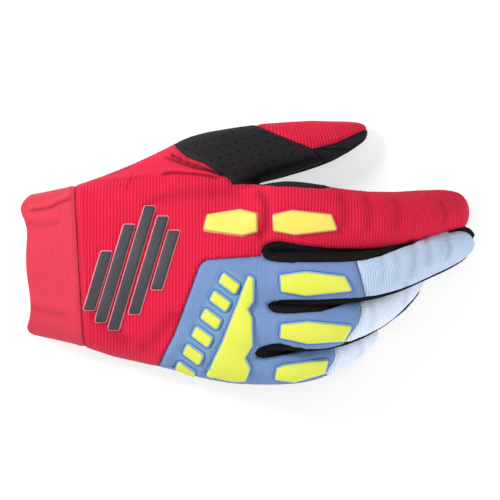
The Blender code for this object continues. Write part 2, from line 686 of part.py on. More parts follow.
def add_back_pieces(surface, panels):
    for name, (finger, places) in PADS.items():
        outline = [on_finger(finger, place) for place in places]
        add_raised(name, surface, panels, outline, PAD_THICKNESS, YELLOW)
    guard = [on_hand(place) for place in GUARD]
    add_raised("knuckle_guard", surface, panels, guard, GUARD_THICKNESS, YELLOW)
    start, end = (on_hand(place) for place in BAR_ROW)
    direction = (end - start).normalized()
    for number in range(BAR_COUNT):
        middle = blend(start, end, number / (BAR_COUNT - 1))
        outline = slanted_bar(middle, direction, BAR_LENGTH, BAR_WIDTH, BAR_SLANT)
        add_raised(f"knuckle_bar_{number + 1}", surface, panels, outline, BAR_THICKNESS, YELLOW)
    for number, rib in enumerate(RIBS):
        middle = on_hand(Place(rib.x, rib.y))
        length = rib.length * WRIST_WIDTH
        outline = slanted_bar(middle, Vector((1, 0, 0)), length, RIB_WIDTH, length * RIB_SLANT)
        add_raised(f"back_rib_{number + 1}", surface, panels, outline, RIB_THICKNESS, GREY)


def stand_on_origin():
    # The origin goes under the middle of the glove, at the height that it rests on
    pieces = [piece for piece in bpy.context.scene.objects if piece.type == "MESH"]
    corners = [vertex.co for piece in pieces for vertex in piece.data.vertices]
    low = [min(corner[axis] for corner in corners) for axis in range(3)]
    high = [max(corner[axis] for corner in corners) for axis in range(3)]
    shift = Vector((-(low[0] + high[0]) / 2, -(low[1] + high[1]) / 2, -low[2]))
    for piece in pieces:
        piece.data.transform(Matrix.Translation(shift))


def main():
    for thing in list(bpy.data.objects):
        bpy.data.objects.remove(thing)
    surface, panels = build_surface()
    add_panels(surface, panels)
    add_back_pieces(surface, panels)
    surface.free()
    stand_on_origin()


main()
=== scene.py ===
# Motocross glove, lying palm down: sewn panels, raised rubber, thread and perforations,
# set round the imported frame. Metres; +X to the fingertips, +Y to the thumb, +Z up.
import math

import bmesh
import bpy
import numpy as np
from mathutils import Matrix, Vector, noise
from mathutils.bvhtree import BVHTree
from mathutils.geometry import delaunay_2d_cdt
from mathutils.interpolate import poly_3d_calc
from mathutils.kdtree import KDTree


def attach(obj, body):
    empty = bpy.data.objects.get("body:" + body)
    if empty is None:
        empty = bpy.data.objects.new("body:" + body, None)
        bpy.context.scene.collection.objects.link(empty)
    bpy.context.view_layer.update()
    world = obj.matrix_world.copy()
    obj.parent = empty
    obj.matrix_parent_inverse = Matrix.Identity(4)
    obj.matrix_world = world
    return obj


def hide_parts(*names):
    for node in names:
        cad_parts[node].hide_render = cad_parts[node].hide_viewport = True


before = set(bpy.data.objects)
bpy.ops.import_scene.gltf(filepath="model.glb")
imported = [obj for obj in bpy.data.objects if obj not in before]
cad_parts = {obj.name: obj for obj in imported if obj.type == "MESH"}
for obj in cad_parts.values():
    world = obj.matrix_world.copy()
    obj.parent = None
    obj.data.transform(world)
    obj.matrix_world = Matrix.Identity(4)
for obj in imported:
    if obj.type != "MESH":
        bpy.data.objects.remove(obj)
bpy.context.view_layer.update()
print("frame loaded:", len(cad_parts), "nodes")

mm = 0.001

# The hand of the glove. Heights are shares of knuckleHeight.
hand = {
    "bodyLength": 0.098,  # wrist seam to knuckle line
    "cuffLength": 0.0275,
    "wristWidth": 0.084,
    "wristShift": -0.0068,
    "knuckleHeight": 0.055,
    "flattened": 0.0004,  # pressed flat by what the glove lies on
    "thumbEdge": 0.0315,
    "webSlope": 0.021,
    "palmAhead": 0.10,
    "crotch": 2,
    "crotchAhead": 0.16,
    "crotchHeight": 0.43,
    "widthShares": (0.030, 0.110, 0.225, 0.361, 0.490, 0.592, 0.692, 0.782, 0.868, 0.932, 0.975),
}
# x and spread on the thumb's and the little finger's side, then the back and the palm
handSections = [
    ((-1.00, -0.95), (0.00, 0.05),
     (0.31, 0.47, 0.57, 0.63, 0.67, 0.69, 0.69, 0.69, 0.68, 0.65, 0.59, 0.49, 0.31),
     (0.12, 0.02, 0.00, 0.00, 0.00, 0.00, 0.00, 0.00, 0.00, 0.02, 0.12)),
    ((-0.85, -0.79), (0.18, 0.36),
     (0.30, 0.46, 0.57, 0.65, 0.70, 0.74, 0.75, 0.75, 0.73, 0.69, 0.62, 0.51, 0.31),
     (0.11, 0.01, 0.00, 0.00, 0.00, 0.00, 0.00, 0.00, 0.00, 0.00, 0.11)),
    ((-0.68, -0.62), (0.41, 0.51),
     (0.29, 0.44, 0.56, 0.66, 0.74, 0.79, 0.81, 0.81, 0.79, 0.74, 0.66, 0.54, 0.33),
     (0.10, 0.00, 0.00, 0.00, 0.02, 0.03, 0.02, 0.00, 0.00, 0.00, 0.10)),
    ((-0.53, -0.46), (0.62, 0.67),
     (0.29, 0.43, 0.56, 0.67, 0.79, 0.85, 0.88, 0.88, 0.85, 0.80, 0.71, 0.57, 0.36),
     (0.10, 0.00, 0.00, 0.02, 0.06, 0.07, 0.06, 0.03, 0.00, 0.00, 0.12)),
    ((-0.37, -0.31), (0.915, 0.90),
     (0.30, 0.44, 0.57, 0.67, 0.84, 0.90, 0.93, 0.93, 0.90, 0.84, 0.75, 0.61, 0.42),
     (0.10, 0.00, 0.02, 0.07, 0.12, 0.13, 0.11, 0.07, 0.04, 0.04, 0.17)),
    ((-0.19, -0.15), (1.00, 1.05),
     (0.35, 0.50, 0.59, 0.61, 0.89, 0.94, 0.97, 0.96, 0.96, 0.90, 0.81, 0.66, 0.47),
     (0.12, 0.06, 0.26, 0.20, 0.22, 0.22, 0.21, 0.19, 0.16, 0.15, 0.25)),
]
# How far behind the wrist seam, width, height, lift, share of the mouth's edge, sideways
cuffSections = [(1.00, 0.890, 0.92, 0.010, 1.00, 0.006), (0.45, 0.950, 0.98, 0.000, 0.25, 0.003)]
mouthEdge = [0.20, 0.09, -0.09, 0.10, 0.04, 0.01, 0.02, 0.05, 0.05, 0.02, -0.07, -0.03, 0.12]
# The knuckle line: x and height of the back, then of the palm
knuckles = [
    (-0.20, 0.83, 0.60, 0.56), (-0.05, 0.99, 0.85, 0.53), (0.02, 0.88, 1.00, 0.55),
    (0.15, 1.03, 1.10, 0.55), (0.20, 0.90, 1.15, 0.57), (0.02, 0.98, 1.05, 0.55),
    (-0.18, 0.81, 0.62, 0.53), (-0.28, 0.83, 0.42, 0.43), (-0.40, 0.65, 0.25, 0.42),
]
# The two edges of the hand and the webs between: x and height
webs = [(0.15, 0.70), (0.62, 0.72), (0.72, 0.74), (0.32, 0.67), (-0.08, 0.53)]

# Fingers. Stations: along, side, height, width, thickness, lean, roll
fingers = {
    "index": {
        "reach": 0.1095, "width": 0.0341, "thickness": 0.0250, "seams": (30, 42),
        "panels": ["index"] * 3 + ["indexBelow", "gusset_index_middle"] + ["palm"] * 3,
        "stations": [
            (0.090, 0.011, 0.775, 1.05, 1.00, 0.45, 0), (0.220, 0.005, 0.780, 1.02, 1.00, 0.20, 0),
            (0.350, -0.012, 0.755, 0.95, 0.98, 0.05, 0), (0.490, -0.018, 0.685, 0.91, 0.96, 0.00, 0),
            (0.630, -0.011, 0.560, 0.84, 0.93, 0.00, 0), (0.760, 0.013, 0.390, 0.75, 0.88, 0.00, 0),
            (0.885, 0.031, 0.175, 0.68, 0.78, 0.00, 0), (0.980, 0.037, 0.072, 0.57, 0.52, 0.00, 0),
        ],
    },
    "middle": {
        "reach": 0.1130, "width": 0.0262, "thickness": 0.0240, "seams": (50, 39),
        "panels": ["middleAbove", "middle", "middle", "middleBelow",
                   "gusset_middle_ring", "palm", "palm", "gusset_index_middle"],
        "stations": [
            (0.110, 0.000, 0.830, 1.00, 1.00, 0.45, 0), (0.225, -0.001, 0.840, 0.99, 1.00, 0.20, 0),
            (0.345, 0.001, 0.825, 0.97, 0.98, 0.05, 0), (0.480, 0.012, 0.770, 0.93, 0.96, 0.00, 0),
            (0.615, 0.041, 0.665, 0.83, 0.93, 0.00, 0), (0.750, 0.089, 0.480, 0.74, 0.89, 0.00, 0),
            (0.870, 0.138, 0.240, 0.69, 0.81, 0.00, 0), (0.960, 0.181, 0.076, 0.61, 0.56, 0.00, 0),
        ],
    },
    "ring": {
        "reach": 0.0872, "width": 0.0230, "thickness": 0.0220, "seams": (50, 32),
        "panels": ["ringAbove", "ring", "ring", "ringBelow",
                   "gusset_ring_little", "palm", "palm", "gusset_middle_ring"],
        "stations": [
            (0.165, 0.005, 0.800, 0.96, 1.00, 0.40, 0), (0.275, 0.000, 0.800, 0.99, 1.00, 0.20, 0),
            (0.415, 0.012, 0.755, 0.96, 0.97, 0.05, 0), (0.550, 0.046, 0.655, 0.91, 0.95, 0.00, 0),
            (0.690, 0.110, 0.490, 0.84, 0.92, 0.00, 0), (0.820, 0.200, 0.240, 0.74, 0.86, 0.00, 0),
            (0.940, 0.292, 0.078, 0.52, 0.62, 0.00, 0),
        ],
    },
    "little": {
        "reach": 0.0630, "width": 0.0182, "thickness": 0.0190, "seams": (32, 28),
        "panels": ["littleAbove", "little", "little", "little", "palm", "palm", "palm",
                   "gusset_ring_little"],
        "stations": [
            (0.215, -0.002, 0.615, 0.93, 1.00, 0.40, 0), (0.340, 0.026, 0.580, 0.99, 1.00, 0.20, 0),
            (0.470, 0.058, 0.520, 0.98, 0.98, 0.05, 0), (0.620, 0.112, 0.430, 0.96, 0.96, 0.00, 0),
            (0.780, 0.198, 0.225, 0.86, 0.90, 0.00, 0), (0.930, 0.268, 0.070, 0.56, 0.64, 0.00, 0),
        ],
    },
    "thumb": {
        "reach": 0.0570, "width": 0.0300, "thickness": 0.0270, "seams": (30, 42),
        "panels": ["thumb"] * 4 + ["palm"] * 4,
        "stations": [
            (0.130, 0.037, 0.300, 0.95, 0.98, 0.10, 6), (0.340, 0.073, 0.265, 0.87, 0.94, 0.05, 16),
            (0.540, 0.112, 0.220, 0.78, 0.88, 0.00, 26), (0.720, 0.156, 0.175, 0.60, 0.76, 0.00, 34),
            (0.860, 0.198, 0.130, 0.41, 0.60, 0.00, 38), (0.955, 0.220, 0.090, 0.28, 0.42, 0.00, 40),
        ],
    },
}
fingerShape = {
    "gaps": (0.0010, 0.0008, 0.0006),  # index to middle, middle to ring, ring to little
    "seamClosing": 0.45,  # share of the seam angles that is gone near the fingertip
    "tip": 1.03,
    "tipPull": 0.8,  # sideways and downwards, of the way that the last stations point
    "roundUp": 1.09,  # what the smoothing takes off a ring of eight points
    "ownWeave": (0.75, 0.45, 0.15),  # share of its own length that each point of the first rings keeps
    "squareness": 2.3,
}


def between(start, end, share):
    return start + (end - start) * share


def ease(value, start, end):
    share = np.clip((value - start) / (end - start), 0, 1)
    return share * share * (3 - 2 * share)


def addObject(name, data):
    made = bpy.data.objects.new(name, data)
    bpy.context.scene.collection.objects.link(made)
    return made


def addLayer(mesh, name, values):
    rows = np.asarray(values, dtype=np.float32)
    kind, key = ("FLOAT_VECTOR", "vector") if rows.ndim == 2 else ("FLOAT", "value")
    mesh.attributes.new(name, kind, "POINT").data.foreach_set(key, rows.ravel())


def placeFingers():
    gaps = fingerShape["gaps"]
    width = {name: finger["width"] for name, finger in fingers.items()}
    index = (gaps[0] + width["index"]) / 2
    middle = -(gaps[0] + width["middle"]) / 2
    ring = middle - width["middle"] / 2 - gaps[1] - width["ring"] / 2
    little = ring - width["ring"] / 2 - gaps[2] - width["little"] / 2
    thumb = index + width["index"] / 2 + hand["thumbEdge"] - width["thumb"] / 2
    for name, y in zip(fingers, (index, middle, ring, little, thumb)):
        fingers[name]["middle"] = y


placeFingers()
knuckleEdges = (fingers["thumb"]["middle"] + fingers["thumb"]["width"] / 2,
                fingers["little"]["middle"] - fingers["little"]["width"] / 2)
wristEdges = (hand["wristShift"] + hand["wristWidth"] / 2, hand["wristShift"] - hand["wristWidth"] / 2)
shift = Vector((0, 0, 0))  # from the knuckle line's origin to the frame's, set once the cage is there


def onHand(x, y):
    return Vector((x * hand["bodyLength"] + shift.x, y * knuckleEdges[1] + shift.y, 0))


def onFinger(name, x, y):
    finger = fingers[name]
    return Vector((x * finger["reach"] + shift.x, finger["middle"] + y * finger["width"] + shift.y, 0))


def outlineOf(carrier, *places):
    # Seen from above. On the hand x is a share of its length and y of the way to the little
    # finger's edge, on a finger x is a share of its reach and y of its width
    if carrier == "hand":
        return [onHand(*place) for place in places]
    return [onFinger(carrier, *place) for place in places]


# The cage. Each point also has its place in the weave: how far along, how far round, in metres.
# The third value is 1 on the widest line of a finger, until the cloth is laid.
cage = {"points": [], "weave": [], "faces": [], "regions": []}


def addPoints(points, weave):
    first = len(cage["points"])
    cage["points"] += points
    cage["weave"] += weave
    return list(range(first, len(cage["points"])))


def joinRings(ring, following, regions):
    count = len(ring)
    for place, region in enumerate(regions):
        after = (place + 1) % count
        cage["faces"].append((ring[place], ring[after], following[after], following[place]))
        cage["regions"].append(region)


def sectionRing(section, ahead):
    xs, spread, backHeights, palmHeights = section
    thumbSide = between(wristEdges[0], knuckleEdges[0], spread[0])
    littleSide = between(wristEdges[1], knuckleEdges[1], spread[1])

    def point(share, height, further=0.0):
        x = (between(xs[0], xs[1], share) + further) * hand["bodyLength"]
        return Vector((x, between(thumbSide, littleSide, share), height * hand["knuckleHeight"]))

    shares = hand["widthShares"]
    back = [point(share, z) for share, z in zip((0.0, *shares, 1.0), backHeights)]
    palm = [point(share, z, ahead) for share, z in zip(shares, palmHeights)]
    return back + palm[::-1]


def ringWeave(ring):
    across = len(hand["widthShares"]) + 2
    back = ring[:across]
    arcs = [0.0]
    for start, end in zip(back, back[1:]):
        arcs.append(arcs[-1] + (end - start).length)
    middle = across // 2
    round_ = [back[middle].y + arcs[middle] - arc for arc in arcs]
    for point in ring[across:]:
        share = (point.y - back[-1].y) / (back[0].y - back[-1].y)
        round_.append(between(round_[across - 1], round_[0], share))
    return [(point.x, v, 0) for point, v in zip(ring, round_)]


def cuffRing(wrist, section):
    behind, width, height, lift, edgeShare, sideways = section
    middleY = sum(wristEdges) / 2
    ring = []
    for point, edge in zip(wrist, mouthEdge + mouthEdge[-2:0:-1]):
        ring.append(Vector((point.x - (behind - edge * edgeShare) * hand["cuffLength"],
                            middleY + (point.y - middleY) * width + sideways * hand["wristWidth"],
                            (point.z + lift * hand["knuckleHeight"]) * height)))
    return ring


def knuckleRows():
    index, middle, ring, little = (fingers[name] for name in ("index", "middle", "ring", "little"))
    gaps = fingerShape["gaps"]
    across = [
        index["middle"] + index["width"] / 2 * 0.94, index["middle"], 0.0, middle["middle"],
        middle["middle"] - (middle["width"] + gaps[1]) / 2, ring["middle"],
        ring["middle"] - (ring["width"] + gaps[2]) / 2, little["middle"],
        knuckleEdges[1] + little["width"] * 0.05,
    ]
    sides = [index["middle"] + index["width"] * 0.54, across[2], across[4], across[6], knuckleEdges[1]]
    slope, tall = hand["webSlope"], hand["knuckleHeight"]
    back = [Vector((k[0] * slope, y, k[1] * tall)) for k, y in zip(knuckles, across)]
    palm = [Vector((k[2] * slope, y, k[3] * tall)) for k, y in zip(knuckles, across)]
    middles = [Vector((web[0] * slope, y, web[1] * tall)) for web, y in zip(webs, sides)]
    return back, palm, middles


def rounded(angle, halfWidth, halfThickness):
    power = 2 / fingerShape["squareness"]
    side = math.copysign(abs(math.cos(angle)) ** power, math.cos(angle)) * halfWidth
    up = math.copysign(abs(math.sin(angle)) ** power, math.sin(angle)) * halfThickness
    return side, up


def addFinger(name, root):
    finger = fingers[name]
    stations = finger["stations"]
    line = [Vector((s[0] * finger["reach"], finger["middle"] + s[1] * finger["reach"],
                    s[2] * hand["knuckleHeight"])) for s in stations]
    before = [cage["points"][number] for number in root]
    lengths = [cage["weave"][number][0] for number in root]
    last = root
    for number, (station, middle) in enumerate(zip(stations, line)):
        forward = (line[min(number + 1, len(line) - 1)] - line[max(number - 1, 0)]).normalized()
        side = Vector((0, 0, 1)).cross(forward).normalized()
        up = forward.cross(side)
        turn = Matrix.Rotation(-math.radians(station[6]), 3, forward)
        closing = 1 - fingerShape["seamClosing"] * float(ease(station[0], 0.45, 0.95))
        thumb, little = (angle * closing for angle in finger["seams"])
        ring = []
        for angle in (0, thumb, 90, 180 - little, 180, 180 + little, 270, 360 - thumb):
            across, rise = rounded(math.radians(angle),
                                   finger["width"] * station[3] * fingerShape["roundUp"] / 2,
                                   finger["thickness"] * station[4] * fingerShape["roundUp"] / 2)
            offset = turn @ (side * across + up * rise)
            ring.append(middle + offset - forward * rise * station[5])
        lengths = [u + (point - old).length for u, point, old in zip(lengths, ring, before)]
        own = dict(enumerate(fingerShape["ownWeave"])).get(number, 0.0)
        lengths = [between(lengths[2], u, own) for u in lengths]
        before = ring
        chord = [(ring[(n + 1) % 8] - ring[n]).length for n in range(8)]
        v = [0.0] * 8
        v[2] = finger["middle"]
        v[1] = v[2] + chord[1]
        v[0] = v[1] + chord[0]
        v[7] = v[0] + chord[7]
        for n in (3, 4, 5, 6):
            v[n] = v[n - 1] - chord[n - 1]
        following = addPoints(ring, list(zip(lengths, v, (1, 0, 0, 0, 1, 0, 0, 0))))
        joinRings(last, following, finger["panels"])
        last = following
    end, beforeEnd = line[-1], line[-2]
    tipX = fingerShape["tip"] * finger["reach"]
    tip = end + (end - beforeEnd) * ((tipX - end.x) / (end.x - beforeEnd.x)) * fingerShape["tipPull"]
    tip.x = tipX
    point = addPoints([tip], [(lengths[2] + (tip - end).length, finger["middle"], 0)])[0]
    for corner, region in ((0, name), (2, name), (4, "palm"), (6, "palm")):
        cage["faces"].append((last[corner], last[corner + 1], last[(corner + 2) % 8], point))
        cage["regions"].append(region)


def buildCage():
    rings = [sectionRing(section, 0.0) for section in handSections[:-1]]
    rings.append(sectionRing(handSections[-1], hand["palmAhead"]))
    width = len(hand["widthShares"])
    around = 2 * width + 2
    last = None
    for section in cuffSections:
        points = cuffRing(rings[0], section)
        ring = addPoints(points, ringWeave(points))
        if last:
            joinRings(last, ring, ["cuff"] * around)
        last = ring
    for number, points in enumerate(rings):
        ring = addPoints(points, ringWeave(points))
        sides = ["back"] * (width + 1) + ["palm"] * (width + 1) if number else ["cuff"] * around
        joinRings(last, ring, sides)
        last = ring
    back, palm, crotch = last[1:1 + width], last[:width + 1:-1], hand["crotch"]
    webPoint = Vector(cage["points"][back[crotch]])
    webPoint.x += hand["crotchAhead"] * hand["bodyLength"]
    webPoint.z = hand["crotchHeight"] * hand["knuckleHeight"]
    web = addPoints([webPoint], [(webPoint.x, webPoint.y, 0)])[0]
    thumbRoot = [last[0], back[0], back[1], back[2], web, palm[2], palm[1], palm[0]]
    handEnd = [web] + back[crotch:] + [last[width + 1]] + palm[:crotch - 1:-1]
    rows = [addPoints(row, [(point.x, point.y, edge) for point in row])
            for row, edge in zip(knuckleRows(), (0, 0, 1))]
    knuckleBack, knucklePalm, middles = rows
    side = len(knuckleBack)
    joinRings(handEnd, [middles[0]] + knuckleBack + [middles[-1]] + knucklePalm[::-1],
              ["back"] * (side + 1) + ["palm"] * (side + 1))
    for number, name in enumerate(("index", "middle", "ring", "little")):
        start = 2 * number
        root = [middles[number]] + knuckleBack[start:start + 3] + [middles[number + 1]]
        addFinger(name, root + knucklePalm[start:start + 3][::-1])
    addFinger("thumb", thumbRoot)


def smoothSurface(level):
    names = sorted(set(cage["regions"]))
    mesh = bpy.data.meshes.new("shell")
    mesh.from_pydata(cage["points"], [], cage["faces"])
    mesh.polygons.foreach_set("material_index", [names.index(region) for region in cage["regions"]])
    addLayer(mesh, "weave", cage["weave"])
    shell = addObject("shell", mesh)
    rounding = shell.modifiers.new("rounding", "SUBSURF")
    rounding.levels = level
    rounding.render_levels = level
    rounding.boundary_smooth = "PRESERVE_CORNERS"
    surface = bmesh.new()
    surface.from_object(shell, bpy.context.evaluated_depsgraph_get())
    bpy.data.objects.remove(shell)
    return surface, names


buildCage()
coarse, regionNames = smoothSurface(1)
low = [min(vertex.co[axis] for vertex in coarse.verts) for axis in range(2)]
high = [max(vertex.co[axis] for vertex in coarse.verts) for axis in range(2)]
coarse.free()
shift = Vector((-(low[0] + high[0]) / 2, -(low[1] + high[1]) / 2, 0))
cage["points"] = [point + shift for point in cage["points"]]
surface, regionNames = smoothSurface(4)
for vertex in surface.verts:
    vertex.co.z = max(vertex.co.z - hand["flattened"], 0.0)
print("surface:", len(surface.faces), "faces")

# Seams, as outlineOf() takes them
seams = {
    "knuckle": ("hand", (-0.66, 1.14), (-0.531, 0.818), (-0.461, 0.625), (-0.367, 0.267),
                (-0.327, 0.110), (-0.309, 0.077), (-0.283, 0.056), (-0.150, 0.044), (0.004, 0.026)),
    "knuckleFar": ("hand", (0.60, 0.000), (0.60, 1.60), (-0.66, 1.60)),
    "patch": ("thumb", (-0.92, 0.45), (-0.808, 0.225), (-0.770, 0.130), (-0.725, 0.045),
              (-0.670, -0.040), (-0.520, -0.150), (-0.397, -0.300), (-0.31, -0.400), (-0.26, -0.48)),
    "patchFar": ("thumb", (0.00, -0.48), (0.00, 0.95)),
    "thumb": ("thumb", (-0.11, 0.58), (0.175, 0.343), (0.479, 0.098), (0.700, 0.200), (1.06, 0.52)),
    "flap": ("thumb", (0.479, 0.098), (0.545, -0.04), (0.602, -0.18), (0.690, -0.55)),
    "middle": ("middle", (0.418, 0.70), (0.456, 0.10), (0.500, -0.70)),
    "ring": ("ring", (0.560, 0.75), (0.602, 0.46), (0.600, 0.27), (0.583, 0.07), (0.540, -0.15),
             (0.46, -0.65)),
    "little": ("little", (0.600, 0.75), (0.622, 0.37), (0.599, 0.12), (0.570, -0.03), (0.50, -0.60)),
}
# Black parts that round off the seams, seen from above in millimetres of the frame
blackParts = {
    "palm": [(-8.9, 37.6), (-8.6, 36.6), (-4.4, 36.15), (6.1, 35.4), (16.6, 34.7), (27.1, 34.1),
             (39.2, 33.4), (42.5, 34.3), (42.5, 46.0), (4.0, 46.0), (-2.0, 40.0)],
    "tip": [(105.5, 10.6), (108.4, 11.2), (111.6, 11.8), (115.3, 11.0), (117.9, 9.2), (120.0, 6.0),
            (124.0, 6.0), (124.0, 18.0), (105.5, 18.0)],
    "gusset_index_middle": [(17.0, 4.5), (13.0, 4.7), (10.0, 4.1), (8.0, 2.5), (7.3, 0.2), (8.0, -2.1),
                            (10.0, -3.6), (13.0, -4.4), (17.0, -4.8), (24.0, -5.2)],
    "gusset_middle_ring": [(34.0, -25.9), (19.0, -25.6), (15.5, -25.6), (12.6, -26.0), (11.1, -26.9),
                           (10.5, -27.9), (11.1, -29.2), (12.4, -30.4), (14.8, -31.2), (20.0, -31.5),
                           (27.0, -31.2), (34.0, -30.6)],
    "gusset_ring_little": [(27.0, -49.8), (14.0, -48.9), (8.5, -49.6), (5.2, -50.6), (3.6, -52.6),
                           (4.6, -54.4), (8.0, -55.0), (14.0, -53.9), (20.0, -52.7), (27.0, -51.0)],
}
# The side of a finger above its widest line: whose panel comes down on it, which gusset has the
# rest, and the share of the way down where they meet, along the finger
rims = {
    "indexBelow": ("index", "gusset_index_middle",
                   [(0.10, 0.0), (0.20, 0.25), (0.40, 0.45), (0.60, 0.68), (0.75, 0.80), (0.92, 0.86)]),
    "middleAbove": ("middle", "gusset_index_middle",
                    [(0.48, 0.0), (0.58, 0.20), (0.65, 0.45), (0.75, 0.75), (0.82, 0.80), (0.88, 0.50),
                     (0.94, 0.20), (1.00, 0.10)]),
    "middleBelow": ("middle", "gusset_middle_ring",
                    [(0.06, 0.25), (0.35, 0.28), (0.45, 0.42), (0.52, 0.65), (0.60, 0.82), (0.75, 0.90),
                     (0.85, 0.96)]),
    "ringAbove": ("ring", "gusset_middle_ring",
                  [(0.36, 0.0), (0.48, 0.35), (0.58, 0.72), (0.68, 0.92), (0.75, 1.0)]),
    "ringBelow": ("ring", "gusset_ring_little",
                  [(0.12, 0.0), (0.24, 0.60), (0.36, 0.84), (0.60, 0.86), (0.70, 1.0), (0.80, 1.0),
                   (0.88, 0.75), (1.00, 0.80)]),
    "littleAbove": ("little", "gusset_ring_little",
                    [(0.12, 0.0), (0.20, 0.30), (0.33, 0.70), (0.45, 0.92), (0.52, 1.0)]),
}
snap = 0.12 * mm  # a point this near to a seam is taken as on it
snapShare = 0.02  # the same for the lines of rims
lines = {name: outlineOf(*spec) for name, spec in seams.items()}
blackLines = {name: [Vector((x, y, 0)) * mm for x, y in places] for name, places in blackParts.items()}

# Folds and creases, in millimetres of the frame seen from above: points, width, depth, lip. Depth also sets
# the painted shade down a crease, lip the painted highlight beside it
folds = [
    ([(-45.6, 50.6), (-43.0, 49.6), (-39.0, 48.4), (-29.4, 44.7), (-19.8, 42.2), (-11.0, 38.8)],
     0.75, 1.35, 0.45),
    ([(-41.5, 51.4), (-36.0, 49.0), (-26.0, 45.3), (-15.0, 41.0)], 2.0, 0.50, 0.0),
    ([(-42.2, 52.6), (-37.0, 49.4), (-30.5, 46.5), (-20.5, 43.4), (-12.0, 39.8)], 0.70, 1.10, 0.35),
    ([(-47.0, 40.1), (-40.9, 41.5), (-32.6, 41.2), (-21.1, 39.9), (-13.6, 38.3)], 0.70, 1.30, 0.70),
    ([(-84.5, 37.0), (-72.0, 37.9), (-61.6, 38.7), (-52.0, 40.4), (-47.0, 40.1)], 0.70, 0.45, 0.40),
    ([(-84.0, 39.2), (-70.0, 43.4), (-60.0, 47.5)], 2.2, 0.70, 0.20),
    ([(-60.3, 42.0), (-61.8, 37.6), (-63.8, 32.4)], 0.50, 0.50, 0.10),
    ([(-38.6, 53.0), (-40.0, 49.6)], 0.65, 0.60, 0.20), ([(-34.6, 50.6), (-36.0, 47.6)], 0.6, 0.6, 0.2),
    ([(-30.8, 48.6), (-32.2, 45.9)], 0.60, 0.55, 0.20), ([(-26.6, 46.4), (-27.8, 44.3)], 0.5, 0.5, 0.2),
    ([(-115.6, 21.6), (-104.2, 23.2), (-99.8, 25.2), (-91.4, 28.6)], 0.90, 0.75, 0.65),
    ([(-117.0, 16.0), (-108.0, 14.5), (-97.0, 16.5)], 2.0, 0.45, 0.20),
    ([(-116.5, -28.0), (-106.0, -31.0), (-94.0, -33.0)], 2.4, 0.45, 0.25),
    ([(84.0, 8.0), (87.0, 0.0), (86.0, -9.0), (83.0, -15.0)], 2.2, 0.40, 0.25),
    ([(92.0, 10.0), (94.6, 1.0), (93.0, -8.0)], 1.8, 0.35, 0.20),
    ([(103.5, 9.0), (105.6, 2.5), (103.4, -5.0)], 1.3, 0.45, 0.30),
    ([(68.5, 0.5), (70.5, -8.0), (69.0, -17.5)], 2.0, 0.25, 0.15),
    ([(76.0, 1.0), (78.4, -7.0), (76.4, -15.0)], 2.0, 0.25, 0.15),
    ([(81.5, -14.5), (83.0, -22.0), (81.0, -28.0)], 1.8, 0.35, 0.20),
    ([(62.5, -24.0), (65.5, -33.0), (63.0, -41.5)], 2.0, 0.25, 0.15),
    ([(56.5, -44.0), (60.0, -51.0), (57.5, -57.0)], 1.8, 0.30, 0.20),
    ([(47.6, 32.0), (50.5, 22.0), (49.5, 12.0)], 3.0, 0.60, 0.30),
    ([(60.5, 31.0), (63.5, 22.0), (62.0, 10.0)], 2.4, 0.50, 0.25),
    ([(75.0, 30.0), (78.5, 21.0), (77.0, 10.0)], 2.4, 0.45, 0.25),
    ([(100.0, 28.0), (103.4, 21.0), (101.4, 13.0)], 1.8, 0.40, 0.20),
    ([(3.4, 33.0), (8.6, 26.0), (8.2, 13.0), (5.4, 5.0)], 2.6, 0.90, 0.35),
    ([(-58.0, 24.0), (-38.0, 30.0), (-14.0, 31.5), (0.0, 28.5)], 3.4, 0.45, 0.30),
    ([(-36.0, -30.0), (-48.0, -44.0), (-58.0, -52.0)], 4.0, 0.55, 0.30),
    ([(-84.0, -30.0), (-72.0, -42.0), (-60.0, -48.0)], 3.6, 0.50, 0.30),
]
# Above this line the red is plain cloth without ribs
ridge = [(-93.0, 30.0), (-84.5, 36.2), (-72.0, 37.6), (-61.6, 38.2), (-52.0, 39.9), (-47.0, 39.7),
         (-40.9, 41.0), (-32.6, 40.8), (-21.1, 39.5), (-8.0, 37.4)]
finer = {
    "side": 0.42 * mm,  # about the side of a face in a narrow fold, twice that beside seams
    "narrow": 1.5, "foldReach": 2.3 * mm, "seamReach": 1.6 * mm, "steepest": 0.15,
}


def lineDistance(points, line):
    # Distance in plan to an open line, signed by side, and the share of the line passed
    best = np.full(len(points), 1e9)
    side = np.ones(len(points))
    passed = np.zeros(len(points))
    lengths = [np.linalg.norm(end - start) for start, end in zip(line, line[1:])]
    run = 0.0
    for start, end, length in zip(line, line[1:], lengths):
        step = (end - start) / length
        share = np.clip((points - start) @ step, 0, length)
        gap = points - (start + share[:, None] * step)
        distance = np.linalg.norm(gap, axis=1)
        closer = distance < best
        best[closer] = distance[closer]
        side[closer] = np.sign(step[0] * gap[closer, 1] - step[1] * gap[closer, 0])
        passed[closer] = run + share[closer]
        run += length
    return best * side, passed / run


def smoothLine(points, pieces=8):
    # Catmull-Rom through the few points of a fold
    rows = [np.array(point) * mm for point in points]
    rows = [2 * rows[0] - rows[1]] + rows + [2 * rows[-1] - rows[-2]]
    line = []
    for a, b, c, d in zip(rows, rows[1:], rows[2:], rows[3:]):
        for t in np.arange(pieces) / pieces:
            line.append(0.5 * (2 * b + (c - a) * t + (2 * a - 5 * b + 4 * c - d) * t ** 2
                               + (3 * b - a - 3 * c + d) * t ** 3))
    return line + [rows[-2]]


